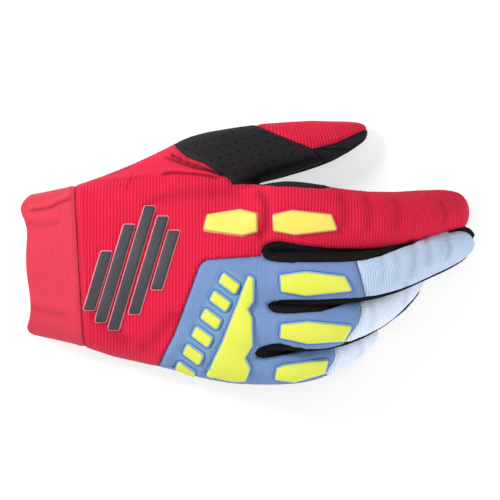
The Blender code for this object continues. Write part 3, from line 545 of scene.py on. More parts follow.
def refine():
    # Splits the faces in narrow folds, beside panel seams and round raised pieces
    for turn in range(2):
        faces = list(surface.faces)
        middles = np.array([face.calc_center_median()[:] for face in faces])
        ups = np.array([face.normal.z for face in faces])
        sides = np.sqrt(np.array([face.calc_area() for face in faces]))
        near = np.zeros(len(faces), bool)
        for points, width, depth, lip in folds:
            if width < finer["narrow"]:
                away, passed = lineDistance(middles[:, :2], smoothLine(points))
                near |= (abs(away) < width * finer["foldReach"]) & (sides > finer["side"] * 1.2)
        for line in list(lines.values()) + list(blackLines.values()):
            rows = [np.array(point[:2]) for point in line]
            away, passed = lineDistance(middles[:, :2], rows)
            near |= (abs(away) < finer["seamReach"]) & (sides > finer["side"] * 2)
        near &= ups > finer["steepest"]
        edges = {edge for face, chosen in zip(faces, near) if chosen for edge in face.edges}
        bmesh.ops.subdivide_edges(surface, edges=list(edges), cuts=1, use_grid_fill=True)
    surface.normal_update()


def cutSeam(line, region):
    number = regionNames.index(region)
    for start, end in zip(line, line[1:]):
        along = (end - start).normalized()
        length = (end - start).length
        near = []
        for face in surface.faces:
            if face.material_index == number:
                reach = [(vertex.co - start).dot(along) for vertex in face.verts]
                if max(reach) > 0 and min(reach) < length:
                    near.append(face)
        parts = set(near)
        for face in near:
            parts.update(face.edges)
            parts.update(face.verts)
        across = Vector((-along.y, along.x, 0))
        bmesh.ops.bisect_plane(surface, geom=list(parts), dist=snap, plane_co=start, plane_no=across)


def trimRim(region):
    finger, gusset, border = rims[region]
    layer = surface.verts.layers.float_vector["weave"]
    reach, number = fingers[finger]["reach"], regionNames.index(region)
    faces = [face for face in surface.faces if face.material_index == number]
    over = {}
    for vertex in {vertex for face in faces for vertex in face.verts}:
        level = vertex[layer].z - np.interp((vertex.co.x - shift.x) / reach, *zip(*border))
        over[vertex] = level if abs(level) > snapShare else 0.0
    for edge in {edge for face in faces for edge in face.edges}:
        start, end = edge.verts
        if over[start] * over[end] < 0:
            made, vertex = bmesh.utils.edge_split(edge, start, over[start] / (over[start] - over[end]))
            over[vertex] = 0.0
    for face in list(faces):
        levels = [over[vertex] for vertex in face.verts]
        ends = [vertex for vertex in face.verts if over[vertex] == 0.0]
        if len(ends) == 2 and max(levels) > 0 > min(levels):
            faces.append(bmesh.utils.face_split(face, *ends)[0])
    own, other = regionNames.index(finger), regionNames.index(gusset)
    for face in faces:
        face.material_index = own if sum(over[vertex] for vertex in face.verts) <= 0 else other


def inside(outline, point):
    crossings = 0
    for start, end in zip(outline, outline[1:] + outline[:1]):
        if (start.y > point.y) != (end.y > point.y):
            x = start.x + (point.y - start.y) / (end.y - start.y) * (end.x - start.x)
            crossings += x > point.x
    return crossings % 2 == 1


def beyond(line, point):
    # On the fingertip's side of a seam across a finger
    far, side = Vector((0.09, 0, 0)), Vector((0, 0.05, 0))
    return inside(line + [line[-1] + far, line[0] + far + side, line[0] + side], point)


def panelOf(region, point):
    if region in ("back", "index", "middle", "ring", "little"):
        for name, outline in blackLines.items():
            if inside(outline, point) and (name, region) != ("tip", "index"):
                return "gusset_index_middle" if name == "tip" else name
    if region == "back":
        if inside(lines["knuckle"] + lines["knuckleFar"], point):
            return "knuckle_panel"
        return "thumb_patch" if inside(lines["patch"] + lines["patchFar"], point) else "back_panel"
    if region == "index":
        return "back_panel"
    if region in ("middle", "ring", "little"):
        return region + "_tip" if beyond(lines[region], point) else "knuckle_panel"
    if region == "thumb":
        side = Vector((0, 2 * fingers["thumb"]["width"], 0))
        if inside(lines["thumb"] + [lines["thumb"][-1] + side, lines["thumb"][0] + side], point):
            return "thumb_back"
        flap, far = lines["flap"], Vector((0.05, 0, 0))
        return "palm" if inside(flap + [flap[-1] + far, flap[0] + far], point) else "thumb_patch"
    return region


surface.normal_update()
refine()
print("finer under folds:", len(surface.faces), "faces")
for region in rims:
    trimRim(region)
for name, region in (("knuckle", "back"), ("patch", "back"), ("thumb", "thumb"), ("flap", "thumb"),
                     ("middle", "middle"), ("ring", "ring"), ("little", "little")):
    cutSeam(lines[name], region)
for name, *near in (("palm", "back", "index"), ("tip", "middle"),
                    ("gusset_index_middle", "back", "index", "middle"),
                    ("gusset_middle_ring", "back", "middle", "ring"),
                    ("gusset_ring_little", "back", "ring", "little")):
    for region in near:
        cutSeam(blackLines[name], region)
# Each panel with its slot
panelSlots = {
    "cuff": "cuff_knit", "back_panel": "red_stretch", "knuckle_panel": "blue_stretch",
    "middle_tip": "pale_blue_stretch", "ring_tip": "pale_blue_stretch", "little_tip": "pale_blue_stretch",
    "gusset_index_middle": "black_knit", "gusset_middle_ring": "black_knit",
    "gusset_ring_little": "black_knit", "thumb_back": "red_stretch", "thumb_patch": "black_perforated",
    "palm": "black_suede",
}
panelNames = list(panelSlots)
faceRegions = []
for face in surface.faces:
    region = regionNames[face.material_index]
    faceRegions.append(region)
    face.material_index = panelNames.index(panelOf(region, face.calc_center_median()))
surface.verts.ensure_lookup_table()
surface.faces.ensure_lookup_table()
surface.normal_update()
print("seams cut:", len(surface.faces), "faces")


# The raised rubber, with outlines as outlineOf() takes them
yellowPads = {
    "height": 1.9 * mm, "edge": 1.15 * mm, "corner": 0.7 * mm, "dome": 0.3 * mm,
    "outlines": {
        "index_pad_1": ("index", (-0.252, 0.042), (-0.095, 0.122), (-0.017, 0.062), (-0.018, -0.195),
                        (-0.086, -0.261), (-0.269, -0.182)),
        "index_pad_2": ("index", (0.061, 0.045), (0.150, 0.110), (0.333, 0.045), (0.358, -0.168),
                        (0.162, -0.240), (0.064, -0.182)),
        "middle_pad": ("middle", (0.093, 0.046), (0.210, 0.114), (0.384, 0.024), (0.415, -0.226),
                       (0.206, -0.322), (0.097, -0.242)),
        "ring_pad": ("ring", (0.127, 0.048), (0.280, 0.112), (0.538, 0.020), (0.494, -0.295),
                     (0.281, -0.340), (0.120, -0.220)),
        "little_pad": ("little", (0.138, -0.024), (0.191, 0.050), (0.552, 0.213), (0.526, -0.148),
                       (0.276, -0.384), (0.122, -0.312)),
    },
}
knuckleGuard = {
    "height": 2.2 * mm, "edge": 1.25 * mm, "corner": 0.8 * mm, "dome": 0.25 * mm,
    "outline": ("hand", (-0.062, 0.183), (-0.038, 0.198), (-0.043, 0.366), (-0.072, 0.424),
                (-0.048, 0.492), (-0.048, 0.694), (-0.089, 0.789), (-0.060, 0.866),
                (-0.082, 0.975), (-0.152, 0.990), (-0.276, 0.972), (-0.288, 0.940), (-0.196, 0.668)),
}
knuckleBars = {
    "height": 1.6 * mm, "edge": 0.8 * mm, "corner": 0.9 * mm, "dome": 0.15 * mm,
    "count": 6, "first": (-0.405, 0.900), "last": (-0.165, 0.235),
    "width": 5.2 * mm, "length": 9.8 * mm, "slant": 1.6 * mm,
}
backRibs = {
    "height": 1.5 * mm, "edge": 0.5 * mm, "corner": 0.7 * mm, "dome": 0.0,
    "width": 5.6 * mm, "slant": 0.30,
    "ribs": [(-0.865, 0.215, 0.36), (-0.775, 0.160, 0.60), (-0.685, 0.120, 0.76),
             (-0.595, 0.100, 0.60), (-0.505, 0.060, 0.36)],
}
rubberRims = {
    "blue": {"reach": 0.95 * mm, "height": 0.35 * mm, "edge": 0.25 * mm},
    # blueGroove: a thin dark sheet that shows round the blue rims, painted shade of the groove pressed in
    # beside them
    "blueGroove": {"reach": 1.45 * mm, "height": 0.12 * mm, "edge": 0.1 * mm},
    "red": {"reach": 0.75 * mm, "height": 0.35 * mm, "edge": 0.2 * mm},
    "pink": {"reach": 0.65 * mm, "height": 0.5 * mm, "edge": 0.2 * mm},
}


def slantedBar(middle, direction, length, width, slant):
    across = Vector((-direction.y, direction.x, 0))
    lean = direction * slant / 2
    ends = (middle + across * length / 2 + lean, middle - across * length / 2 - lean)
    half = direction * width / 2
    return [ends[0] - half, ends[0] + half, ends[1] + half, ends[1] - half]


def anticlockwise(corners):
    area = sum(a.x * b.y - b.x * a.y for a, b in zip(corners, corners[1:] + corners[:1]))
    return corners if area > 0 else corners[::-1]


def roundedContour(corners, radius, step):
    # Corners become arcs, and long sides get points every step
    corners = [corner.xy for corner in anticlockwise(corners)]
    points = []
    for number, here in enumerate(corners):
        before, after = corners[number - 1], corners[(number + 1) % len(corners)]
        toBefore, toAfter = before - here, after - here
        half = toBefore.angle(toAfter) / 2
        cut = min(radius / math.tan(half), 0.42 * toBefore.length, 0.42 * toAfter.length)
        turn = cut * math.tan(half)
        start = here + toBefore.normalized() * cut
        end = here + toAfter.normalized() * cut
        centre = here + (toBefore.normalized() + toAfter.normalized()).normalized() * turn / math.sin(half)
        first = math.atan2(*(start - centre).yx)
        sweep = math.atan2(*(end - centre).yx) - first
        sweep = (sweep + math.pi) % (2 * math.pi) - math.pi
        arcs = max(3, math.ceil(abs(sweep) * turn / (0.3 * mm)))
        for place in range(arcs + 1):
            angle = first + sweep * place / arcs
            points.append(centre + Vector((math.cos(angle), math.sin(angle))) * turn)
    contour = []
    for start, end in zip(points, points[1:] + points[:1]):
        pieces = max(1, math.ceil((end - start).length / step))
        contour += [start.lerp(end, place / pieces) for place in range(pieces)]
    return np.array(contour)


def nearestOn(contour, points):
    # Distance in plan from each point to a closed contour
    best = np.full(len(points), 1e9)
    for start, end in zip(contour, np.roll(contour, -1, axis=0)):
        step = end - start
        share = np.clip(((points - start) @ step) / max(step @ step, 1e-18), 0, 1)
        best = np.minimum(best, np.linalg.norm(points - (start + share[:, None] * step), axis=1))
    return best


def within(contour, points):
    result = np.zeros(len(points), bool)
    for (x0, y0), (x1, y1) in zip(contour, np.roll(contour, -1, axis=0)):
        if y0 != y1:
            crosses = (y0 > points[:, 1]) != (y1 > points[:, 1])
            result ^= crosses & (points[:, 0] < x0 + (points[:, 1] - y0) / (y1 - y0) * (x1 - x0))
    return result


def grown(contour, distance):
    # The contour moved outwards; points that come too near to another side drop out
    before, after = np.roll(contour, 1, axis=0), np.roll(contour, -1, axis=0)
    along = after - before
    along /= np.linalg.norm(along, axis=1)[:, None]
    moved = contour + np.stack((along[:, 1], -along[:, 0]), axis=1) * distance
    return moved[nearestOn(contour, moved) > abs(distance) * 0.96]


def awayFrom(contour, points):
    # Distance in plan to a closed contour, negative inside it
    away = nearestOn(contour, points)
    away[within(contour, points)] *= -1
    return away


raised = {}  # name: contour, measures, what carries it, rim kind
for name, spec in yellowPads["outlines"].items():
    rim = "red" if spec[0] == "index" else "blue"
    raised[name] = (outlineOf(*spec), yellowPads, spec[0], rim)
raised["knuckle_guard"] = (outlineOf(*knuckleGuard["outline"]), knuckleGuard, "", "blue")
barStart, barEnd = onHand(*knuckleBars["first"]), onHand(*knuckleBars["last"])
barWay = (barEnd - barStart).normalized()
for number in range(knuckleBars["count"]):
    middle = barStart.lerp(barEnd, number / (knuckleBars["count"] - 1))
    outline = slantedBar(middle, barWay, knuckleBars["length"], knuckleBars["width"], knuckleBars["slant"])
    raised[f"knuckle_bar_{number + 1}"] = (outline, knuckleBars, "", "blue")
for number, (x, y, share) in enumerate(backRibs["ribs"]):
    length = share * hand["wristWidth"]
    slant = length * backRibs["slant"]
    outline = slantedBar(onHand(x, y), Vector((1, 0, 0)), length, backRibs["width"], slant)
    raised[f"back_rib_{number + 1}"] = (outline, backRibs, "", "pink")
contourStep = 0.7 * mm
contours = {name: roundedContour(outline, look["corner"], contourStep)
            for name, (outline, look, carrier, rim) in raised.items()}


# How the cloth lies: seams pull it in, pads press it, folds and soft waves run over it
cloth = {
    "seamDepth": 0.50 * mm, "seamWidth": 1.2 * mm, "seamPuff": 0.22 * mm,
    "pucker": 0.10 * mm, "puckerPitch": 2.6 * mm,
    "broadWave": 0.45 * mm, "broadScale": 32.0,
    "fineWave": 0.16 * mm, "fineScale": 105.0,
    "jointWrinkle": 0.40 * mm, "jointPitch": 6.5 * mm,
    "gussetPuff": 1.0 * mm, "flapLift": 0.5 * mm,
    # creaseShade and patchShade give painted shade, lipShade a painted highlight on fold lips; seamShade
    # darkens a line along each seam
    "creaseShade": 0.42, "lipShade": 0.35, "seamShade": 0.38, "patchShade": 0.55,
    "foldEnd": 0.12,  # share of a fold's length that it fades out over
}
knucklePad = {
    "rise": 0.85 * mm, "shoulder": 1.3 * mm,  # foam under the blue panel
    "pressDepth": 0.40 * mm, "pressWidth": 1.1 * mm,  # round each raised piece
    "pressFrom": 1.2 * mm, "pressReach": 4 * mm,
    "stripDepth": 0.45 * mm, "stripMargin": 2.2 * mm, "stripSoft": 0.7 * mm,  # round the bars
    "stripEnd": 1.2 * mm, "stripCorner": 2.2 * mm,
}
cuffPanel, backPanel = 0, 1  # their places among the panels


def bell(value, width):
    return np.exp(-(value / width) ** 2)


def wristLine(y):
    # x of the cuff's seam on the back, read off the mesh
    rows = []
    for vertex in surface.verts:
        numbers = {face.material_index for face in vertex.link_faces}
        if vertex.normal.z > 0.2 and {cuffPanel, backPanel} <= numbers:
            rows.append((vertex.co.y, vertex.co.x))
    return np.interp(y, *zip(*sorted(rows)))


def rimDistances():
    rim = set()
    for edge in surface.edges:
        numbers = {face.material_index for face in edge.link_faces}
        if len(numbers) > 1:
            rim.update(edge.verts)
    tree = KDTree(len(rim))
    for vertex in rim:
        tree.insert(vertex.co, 0)
    tree.balance()
    return np.array([tree.find(vertex.co)[2] for vertex in surface.verts])


def foldsOn(plan, up):
    # What folds and creases add to the height, with the painted shade down each crease and the painted
    # highlight on its lip
    move, shade = np.zeros((2, len(plan)))
    for points, width, depth, lip in folds:
        away, passed = lineDistance(plan, smoothLine(points))
        fade = up * ease(passed, 0.0, cloth["foldEnd"]) * ease(1 - passed, 0.0, cloth["foldEnd"])
        width *= mm
        beside = away - 1.9 * width
        move += mm * fade * (lip * bell(beside, 1.4 * width) - depth * bell(away, width))
        # painted highlight on the lip beside the crease, painted shade down the crease
        light = cloth["lipShade"] * lip * bell(beside, 1.2 * width)
        shade += cloth["creaseShade"] * fade * (depth * bell(away, 0.85 * width) - light)
    return move, shade


def seamsOn(rim, weave):
    # Seams draw the cloth in, with small puckers beside them
    width, pitch = cloth["seamWidth"], 2 * math.pi / cloth["puckerPitch"]
    ripple = np.sin(weave[:, 0] * pitch) * np.sin(weave[:, 1] * pitch)
    move = cloth["seamPuff"] * bell(rim - 2.3 * width, width) - cloth["seamDepth"] * bell(rim, width)
    return move + cloth["pucker"] * ripple * bell(rim - width, 1.4 * width)


def wavesOn(places):
    move = np.zeros(len(places))
    for kind in ("broad", "fine"):
        waves = [noise.noise(Vector(place) * cloth[kind + "Scale"]) for place in places]
        move += cloth[kind + "Wave"] * np.array(waves)
    return move


def wrinklesUnder(places, normals, weave):
    # The palm side wrinkles across the bent joints
    bent = weave[:, 0] - 0.5 * hand["webSlope"]
    wrinkle = np.sin(2 * math.pi * bent / cloth["jointPitch"] + 1.3 * np.sin(weave[:, 1] * 90))
    under = ease(-normals[:, 2], 0.1, 0.6) * ease(places[:, 2], 0.5 * mm, 4 * mm)
    return cloth["jointWrinkle"] * wrinkle * under * ease(bent, 0.01, 0.03)


def pressedBy(plan, facingUp):
    # The foam is pressed in round each raised piece
    move = np.zeros(len(plan))
    for name, contour in contours.items():
        reach = knucklePad["pressReach"]
        near = (plan > contour.min(axis=0) - reach) & (plan < contour.max(axis=0) + reach)
        near = np.all(near, axis=1) & facingUp
        away = awayFrom(contour, plan[near]) - knucklePad["pressFrom"]
        press = 1.0 if raised[name][3] == "blue" else 0.5
        move[near] -= press * knucklePad["pressDepth"] * bell(away, knucklePad["pressWidth"])
    return move


def barStrip(plan):
    # 1 in the sunk strip that the knuckle bars lie in
    margin, soft = knucklePad["stripMargin"], knucklePad["stripSoft"]
    ends = knuckleBars["width"] / 2 + margin + knucklePad["stripEnd"]
    strip = slantedBar((barStart + barEnd) / 2, barWay, knuckleBars["length"] + 2 * margin,
                       (barEnd - barStart).length + 2 * ends, knuckleBars["slant"])
    away = awayFrom(roundedContour(strip, knucklePad["stripCorner"], 1.0 * mm), plan)
    return 1 - ease(away, -soft, soft)


def straightened(weave, ahead):
    # On the back the ribs run straight across, and further out along each finger as they lie
    onBack = np.zeros(len(weave), bool)
    for face, region in zip(surface.faces, faceRegions):
        if region not in ("thumb", "palm"):
            onBack[[vertex.index for vertex in face.verts]] = True
    straight = between(ahead, weave[:, 0], ease(ahead, 4 * mm, 42 * mm))
    return np.stack((np.where(onBack, straight, weave[:, 0]), weave[:, 1]), axis=1)


def plainOn(plan, on, sunk):
    # Where the cloth is plain: above the ridge, beside the cuff's seam and in the bars' strip
    away, passed = lineDistance(plan, smoothLine(ridge))
    plain = np.where((passed > 0) & (passed < 1), ease(away, -0.3 * mm, 0.5 * mm), 0.0)
    bySeam = 1 - ease(plan[:, 0] - wristLine(plan[:, 1]), 2.2 * mm, 3.4 * mm)
    plain = np.where(on["back_panel"] & ~on["cuff"], np.maximum(plain, bySeam), 0.0)
    return np.where(on["knuckle_panel"], sunk, plain)


def layCloth():
    places = np.array([vertex.co[:] for vertex in surface.verts])
    normals = np.array([vertex.normal[:] for vertex in surface.verts])
    weaveLayer = surface.verts.layers.float_vector["weave"]
    shadeLayer = surface.verts.layers.float.new("shade")
    weave = np.array([vertex[weaveLayer][:2] for vertex in surface.verts])
    weave = straightened(weave, places[:, 0] - shift.x)
    plan, upward = places[:, :2], normals[:, 2]
    on = {name: np.zeros(len(places), bool) for name in panelNames}
    for face in surface.faces:
        on[panelNames[face.material_index]][[vertex.index for vertex in face.verts]] = True
    rim = rimDistances()
    up = ease(upward, 0.05, 0.35)
    padding, patch = on["knuckle_panel"] * up, on["thumb_patch"]
    sunk = barStrip(plan) * padding

    move, shade = foldsOn(plan, up)
    move += seamsOn(rim, weave) + wavesOn(places) + wrinklesUnder(places, normals, weave) * on["palm"]
    move += knucklePad["rise"] * (1 - bell(rim, knucklePad["shoulder"])) * padding
    move += pressedBy(plan, upward > 0.1) - knucklePad["stripDepth"] * sunk
    # the gussets press against each other between the fingers
    gussets = on["gusset_index_middle"] | on["gusset_middle_ring"] | on["gusset_ring_little"]
    gussets = gussets * ease(0.75 - upward, 0.0, 0.5)
    move += cloth["gussetPuff"] * gussets * ease(rim, 0.5 * mm, 2.0 * mm)
    # the patch lies over the palm at its flap
    away, passed = lineDistance(plan, [np.array(point[:2]) for point in lines["flap"]])
    move += cloth["flapLift"] * patch * bell(away, 3.5 * mm)

    # how plain the cloth is, kept as the third value of the weave
    plain = plainOn(plan, on, sunk)
    shade += cloth["seamShade"] * bell(rim, 0.45 * mm)
    # painted shade where the thumb patch turns down and away from the light
    shade += cloth["patchShade"] * patch * ease(-normals[:, 1], 0.20, 0.60)
    shade = np.clip(shade, -0.3, 0.85)
    moved = places + normals * move[:, None]
    moved[:, 2] = np.maximum(moved[:, 2], 0.0)
    for vertex, place, u, share, dark in zip(surface.verts, moved, weave[:, 0], plain, shade):
        vertex.co = place
        vertex[weaveLayer].x = u
        vertex[weaveLayer].z = share
        vertex[shadeLayer] = dark
    surface.normal_update()
    return rim


rimDistance = layCloth()
print("cloth laid")


# Materials: procedural, on the weave attribute or on Object coordinates
def addNode(tree, kind, inputs=None, **settings):
    made = tree.nodes.new(kind)
    for key, value in settings.items():
        setattr(made, key, value)
    for key, value in (inputs or {}).items():
        if isinstance(value, bpy.types.NodeSocket):
            tree.links.new(value, made.inputs[key])
        else:
            made.inputs[key].default_value = value
    return made


def output(tree, kind, inputs=None, socket=0, **settings):
    return addNode(tree, kind, inputs, **settings).outputs[socket]


def maths(tree, operation, first, second=0.0, third=0.0):
    return output(tree, "ShaderNodeMath", {0: first, 1: second, 2: third}, operation=operation)


def mixed(tree, share, first, second, blend="MIX"):
    made = addNode(tree, "ShaderNodeMix", {"Factor": share}, data_type="RGBA", blend_type=blend)
    for socket, value in ((made.inputs[6], first), (made.inputs[7], second)):
        if isinstance(value, bpy.types.NodeSocket):
            tree.links.new(value, socket)
        else:
            socket.default_value = (*value, 1)
    return made.outputs[2]


def grain(tree, scale, detail=3.0):
    place = output(tree, "ShaderNodeTexCoord", socket="Object")
    return output(tree, "ShaderNodeTexNoise",
                  {"Vector": place, "Scale": scale, "Detail": detail, "Roughness": 0.6}, socket="Fac")


def attribute(tree, name, socket):
    return output(tree, "ShaderNodeAttribute", socket=socket, attribute_name=name)


def wave(tree, turns):
    return maths(tree, "MULTIPLY_ADD", maths(tree, "SINE", turns), 0.5, 0.5)


def varied(tree, value, amount):
    return maths(tree, "MULTIPLY_ADD", value, amount, 1 - amount / 2)


def newMaterial(name, roughness, sheen=0.0, gloss=0.5):
    material = bpy.data.materials.new(name)
    material.use_nodes = True
    shader = material.node_tree.nodes["Principled BSDF"]
    shader.inputs["Roughness"].default_value = roughness
    shader.inputs["Sheen Weight"].default_value = sheen
    shader.inputs["Sheen Roughness"].default_value = 0.45
    shader.inputs["Specular IOR Level"].default_value = gloss
    return material, material.node_tree, shader


def bump(tree, shader, height, distance):
    made = addNode(tree, "ShaderNodeBump", {"Height": height, "Distance": distance, "Strength": 1.0})
    tree.links.new(made.outputs["Normal"], shader.inputs["Normal"])


def ribbedCloth(name, look):
    # Ribs across the length, with small gaps between the loops of the knit; the shade attribute multiplies
    # in painted shade and painted highlight
    material, tree, shader = newMaterial(name, look["roughness"], look["sheen"], look["gloss"])
    axes = addNode(tree, "ShaderNodeSeparateXYZ", {"Vector": attribute(tree, "weave", "Vector")}).outputs
    along, across, plain = axes[0], axes[1], axes[2]
    waver = maths(tree, "MULTIPLY", grain(tree, look["waverScale"], 2.0), look["waver"])
    turns = maths(tree, "MULTIPLY", maths(tree, "ADD", along, waver), 2 * math.pi / look["pitch"])
    crest = wave(tree, turns)
    halfTurns = maths(tree, "MULTIPLY", turns, 0.5)
    loop = wave(tree, maths(tree, "MULTIPLY_ADD", across, 2 * math.pi / look["loop"], halfTurns))
    valley = maths(tree, "POWER", maths(tree, "SUBTRACT", 1.0, crest), 2.0)
    gap = maths(tree, "MULTIPLY", valley, maths(tree, "POWER", loop, 2.0))
    yarn, broad = grain(tree, look["yarnScale"], 2.0), grain(tree, 38.0)
    colour = mixed(tree, crest, look["valley"], look["crest"])
    colour = mixed(tree, maths(tree, "MULTIPLY", gap, look["gapShade"]), colour, look["gap"])
    height = maths(tree, "SUBTRACT", crest, maths(tree, "MULTIPLY", gap, 0.6))
    if "plain" in look:
        faded = maths(tree, "MULTIPLY", plain, look["plainFade"])
        colour = mixed(tree, faded, colour, look["plain"])
        height = maths(tree, "MULTIPLY", height, maths(tree, "SUBTRACT", 1.0, faded))
    toneAndShade = varied(tree, broad, look["broadTone"])
    toneAndShade = maths(tree, "MULTIPLY", toneAndShade, varied(tree, yarn, look["yarnTone"]))
    # painted shade and highlight from the shade attribute, on top of the random tone
    dark = attribute(tree, "shade", "Fac")
    toneAndShade = maths(tree, "MULTIPLY", toneAndShade, maths(tree, "SUBTRACT", 1.0, dark))
    shade = output(tree, "ShaderNodeCombineXYZ", {0: toneAndShade, 1: toneAndShade, 2: toneAndShade})
    colour = mixed(tree, 1.0, colour, shade, "MULTIPLY")
    tree.links.new(colour, shader.inputs["Base Color"])
    height = maths(tree, "MULTIPLY_ADD", yarn, 0.35, height)
    bump(tree, shader, height, look["depth"])
    return material


def grainedHide(name, look):
    # Suede or coated hide: fine grain over soft patches, then mixed towards a painted shade colour by the
    # shade attribute
    material, tree, shader = newMaterial(name, look["roughness"], look["sheen"], look["gloss"])
    fine, broad = grain(tree, look["grain"], 4.0), grain(tree, 45.0)
    colour = mixed(tree, fine, look["dark"], look["light"])
    colour = mixed(tree, maths(tree, "MULTIPLY", broad, 0.4), colour, look["worn"])
    # painted shade from the shade attribute
    colour = mixed(tree, attribute(tree, "shade", "Fac"), colour, look["paintedShade"])
    tree.links.new(colour, shader.inputs["Base Color"])
    bump(tree, shader, maths(tree, "MULTIPLY_ADD", broad, 0.4, fine), look["depth"])
    return material


def rubber(name, dark, light, roughness, gloss):
    material, tree, shader = newMaterial(name, roughness, 0.0, gloss)
    fine, broad = grain(tree, 2600.0, 2.0), grain(tree, 60.0)
    tree.links.new(mixed(tree, broad, dark, light), shader.inputs["Base Color"])
    rough = maths(tree, "MULTIPLY_ADD", fine, 0.16, roughness - 0.08)
    tree.links.new(rough, shader.inputs["Roughness"])
    bump(tree, shader, fine, 0.02 * mm)
    return material


ribbed = {
    "red_stretch": {
        "pitch": 1.72 * mm, "loop": 1.75 * mm, "waver": 1.1 * mm, "waverScale": 75.0,
        "crest": (0.71, 0.018, 0.059), "valley": (0.60, 0.010, 0.043), "gap": (0.29, 0.003, 0.019),
        "gapShade": 0.68, "broadTone": 0.24, "yarnTone": 0.18, "yarnScale": 1500.0,
        "plain": (0.60, 0.019, 0.056), "plainFade": 1.0,
        "depth": 0.22 * mm, "roughness": 0.80, "sheen": 0.04, "gloss": 0.10,
    },
    "blue_stretch": {
        "pitch": 0.85 * mm, "loop": 1.1 * mm, "waver": 0.3 * mm, "waverScale": 90.0,
        "crest": (0.192, 0.300, 0.540), "valley": (0.132, 0.220, 0.440), "gap": (0.09, 0.16, 0.36),
        "gapShade": 0.5, "broadTone": 0.22, "yarnTone": 0.20, "yarnScale": 1800.0,
        "plain": (0.155, 0.310, 0.500), "plainFade": 0.55,
        "depth": 0.12 * mm, "roughness": 0.78, "sheen": 0.05, "gloss": 0.12,
    },
    "pale_blue_stretch": {
        "pitch": 1.45 * mm, "loop": 1.3 * mm, "waver": 0.9 * mm, "waverScale": 80.0,
        "crest": (0.540, 0.645, 0.815), "valley": (0.405, 0.515, 0.705), "gap": (0.35, 0.46, 0.67),
        "gapShade": 0.5, "broadTone": 0.16, "yarnTone": 0.12, "yarnScale": 1500.0,
        "depth": 0.17 * mm, "roughness": 0.78, "sheen": 0.05, "gloss": 0.12,
    },
    "cuff_knit": {
        "pitch": 0.78 * mm, "loop": 1.2 * mm, "waver": 0.7 * mm, "waverScale": 60.0,
        "crest": (0.715, 0.058, 0.094), "valley": (0.615, 0.039, 0.071), "gap": (0.45, 0.022, 0.047),
        "gapShade": 0.5, "broadTone": 0.14, "yarnTone": 0.14, "yarnScale": 1600.0,
        "depth": 0.13 * mm, "roughness": 0.88, "sheen": 0.06, "gloss": 0.08,
    },
    "black_knit": {
        "pitch": 0.95 * mm, "loop": 1.0 * mm, "waver": 0.4 * mm, "waverScale": 90.0,
        "crest": (0.016, 0.016, 0.018), "valley": (0.006, 0.006, 0.007), "gap": (0.003, 0.003, 0.003),
        "gapShade": 0.6, "broadTone": 0.30, "yarnTone": 0.45, "yarnScale": 1400.0,
        "depth": 0.20 * mm, "roughness": 0.85, "sheen": 0.0, "gloss": 0.06,
    },
}
# A lighter copy of the pale blue for the ring and little fingertips: painted light, as those tips slope
# towards the fill light
ribbed["pale_blue_painted_light"] = {
    **ribbed["pale_blue_stretch"],
    "crest": (0.745, 0.815, 0.930), "valley": (0.600, 0.695, 0.850), "gap": (0.48, 0.58, 0.76),
}
# paintedShade: the colour that the painted shade of creases and of the patch's turned-under side goes to
hides = {
    "black_suede": {
        "grain": 1900.0, "dark": (0.010, 0.010, 0.011), "light": (0.026, 0.026, 0.028),
        "worn": (0.022, 0.022, 0.024), "paintedShade": (0.004, 0.004, 0.004),
        "roughness": 0.92, "sheen": 0.02, "gloss": 0.05, "depth": 0.07 * mm,
    },
    "black_perforated": {
        "grain": 2300.0, "dark": (0.010, 0.0085, 0.0100), "light": (0.018, 0.0150, 0.0172),
        "worn": (0.020, 0.0170, 0.0195), "paintedShade": (0.003, 0.003, 0.003),
        "roughness": 0.60, "sheen": 0.0, "gloss": 0.11, "depth": 0.03 * mm,
    },
}
# Dark and light colour, roughness, gloss
rubbers = {
    "yellow_rubber": ((0.62, 0.67, 0.060), (0.70, 0.73, 0.100), 0.50, 0.22),
    "warm_yellow": ((0.73, 0.62, 0.090), (0.79, 0.67, 0.140), 0.50, 0.22),
    "grey_rubber": ((0.038, 0.035, 0.045), (0.052, 0.048, 0.060), 0.55, 0.22),
    "blue_rim": ((0.17, 0.33, 0.62), (0.23, 0.40, 0.70), 0.55, 0.2),
    # blue_groove: dark blue for the painted shade of the groove round the blue rims
    "blue_groove": ((0.045, 0.105, 0.32), (0.065, 0.135, 0.38), 0.60, 0.1),
    "red_rim": ((0.55, 0.16, 0.15), (0.66, 0.26, 0.22), 0.55, 0.2),
    "pink_rim": ((0.66, 0.19, 0.23), (0.76, 0.30, 0.32), 0.50, 0.2),
    "redThread": ((0.34, 0.008, 0.026), (0.46, 0.014, 0.040), 0.7, 0.1),
    "blackThread": ((0.018, 0.018, 0.020), (0.045, 0.045, 0.050), 0.6, 0.1),
    # hole_shade: near-black discs mark the real perforations; their colour is painted shade inside the holes
    "hole_shade": ((0.0015, 0.0015, 0.0015), (0.003, 0.003, 0.003), 0.9, 0.0),
}
materials = {name: ribbedCloth(name, look) for name, look in ribbed.items()}
materials.update({name: grainedHide(name, look) for name, look in hides.items()})
materials.update({name: rubber(name, *look) for name, look in rubbers.items()})
print("materials:", len(materials))


# Panels: walls made from stretches of the surface, each in place of its plain solid
walls = {"cuff": 2.2 * mm, "palm": 1.2 * mm}
panelWall = 1.4 * mm  # of all the others
seamGap = 0.3 * mm
sharpEdge = math.radians(50)


def meshObject(name, points, faces, material, weave=None, shade=None):
    mesh = bpy.data.meshes.new(name)
    mesh.from_pydata(points, [], faces)
    if weave is not None:
        addLayer(mesh, "weave", weave)
        addLayer(mesh, "shade", shade)
    mesh.materials.append(material)
    mesh.shade_smooth()
    mesh.set_sharp_from_angle(angle=sharpEdge)
    mesh.validate()
    piece = addObject(name, mesh)
    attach(piece, "root")
    return piece


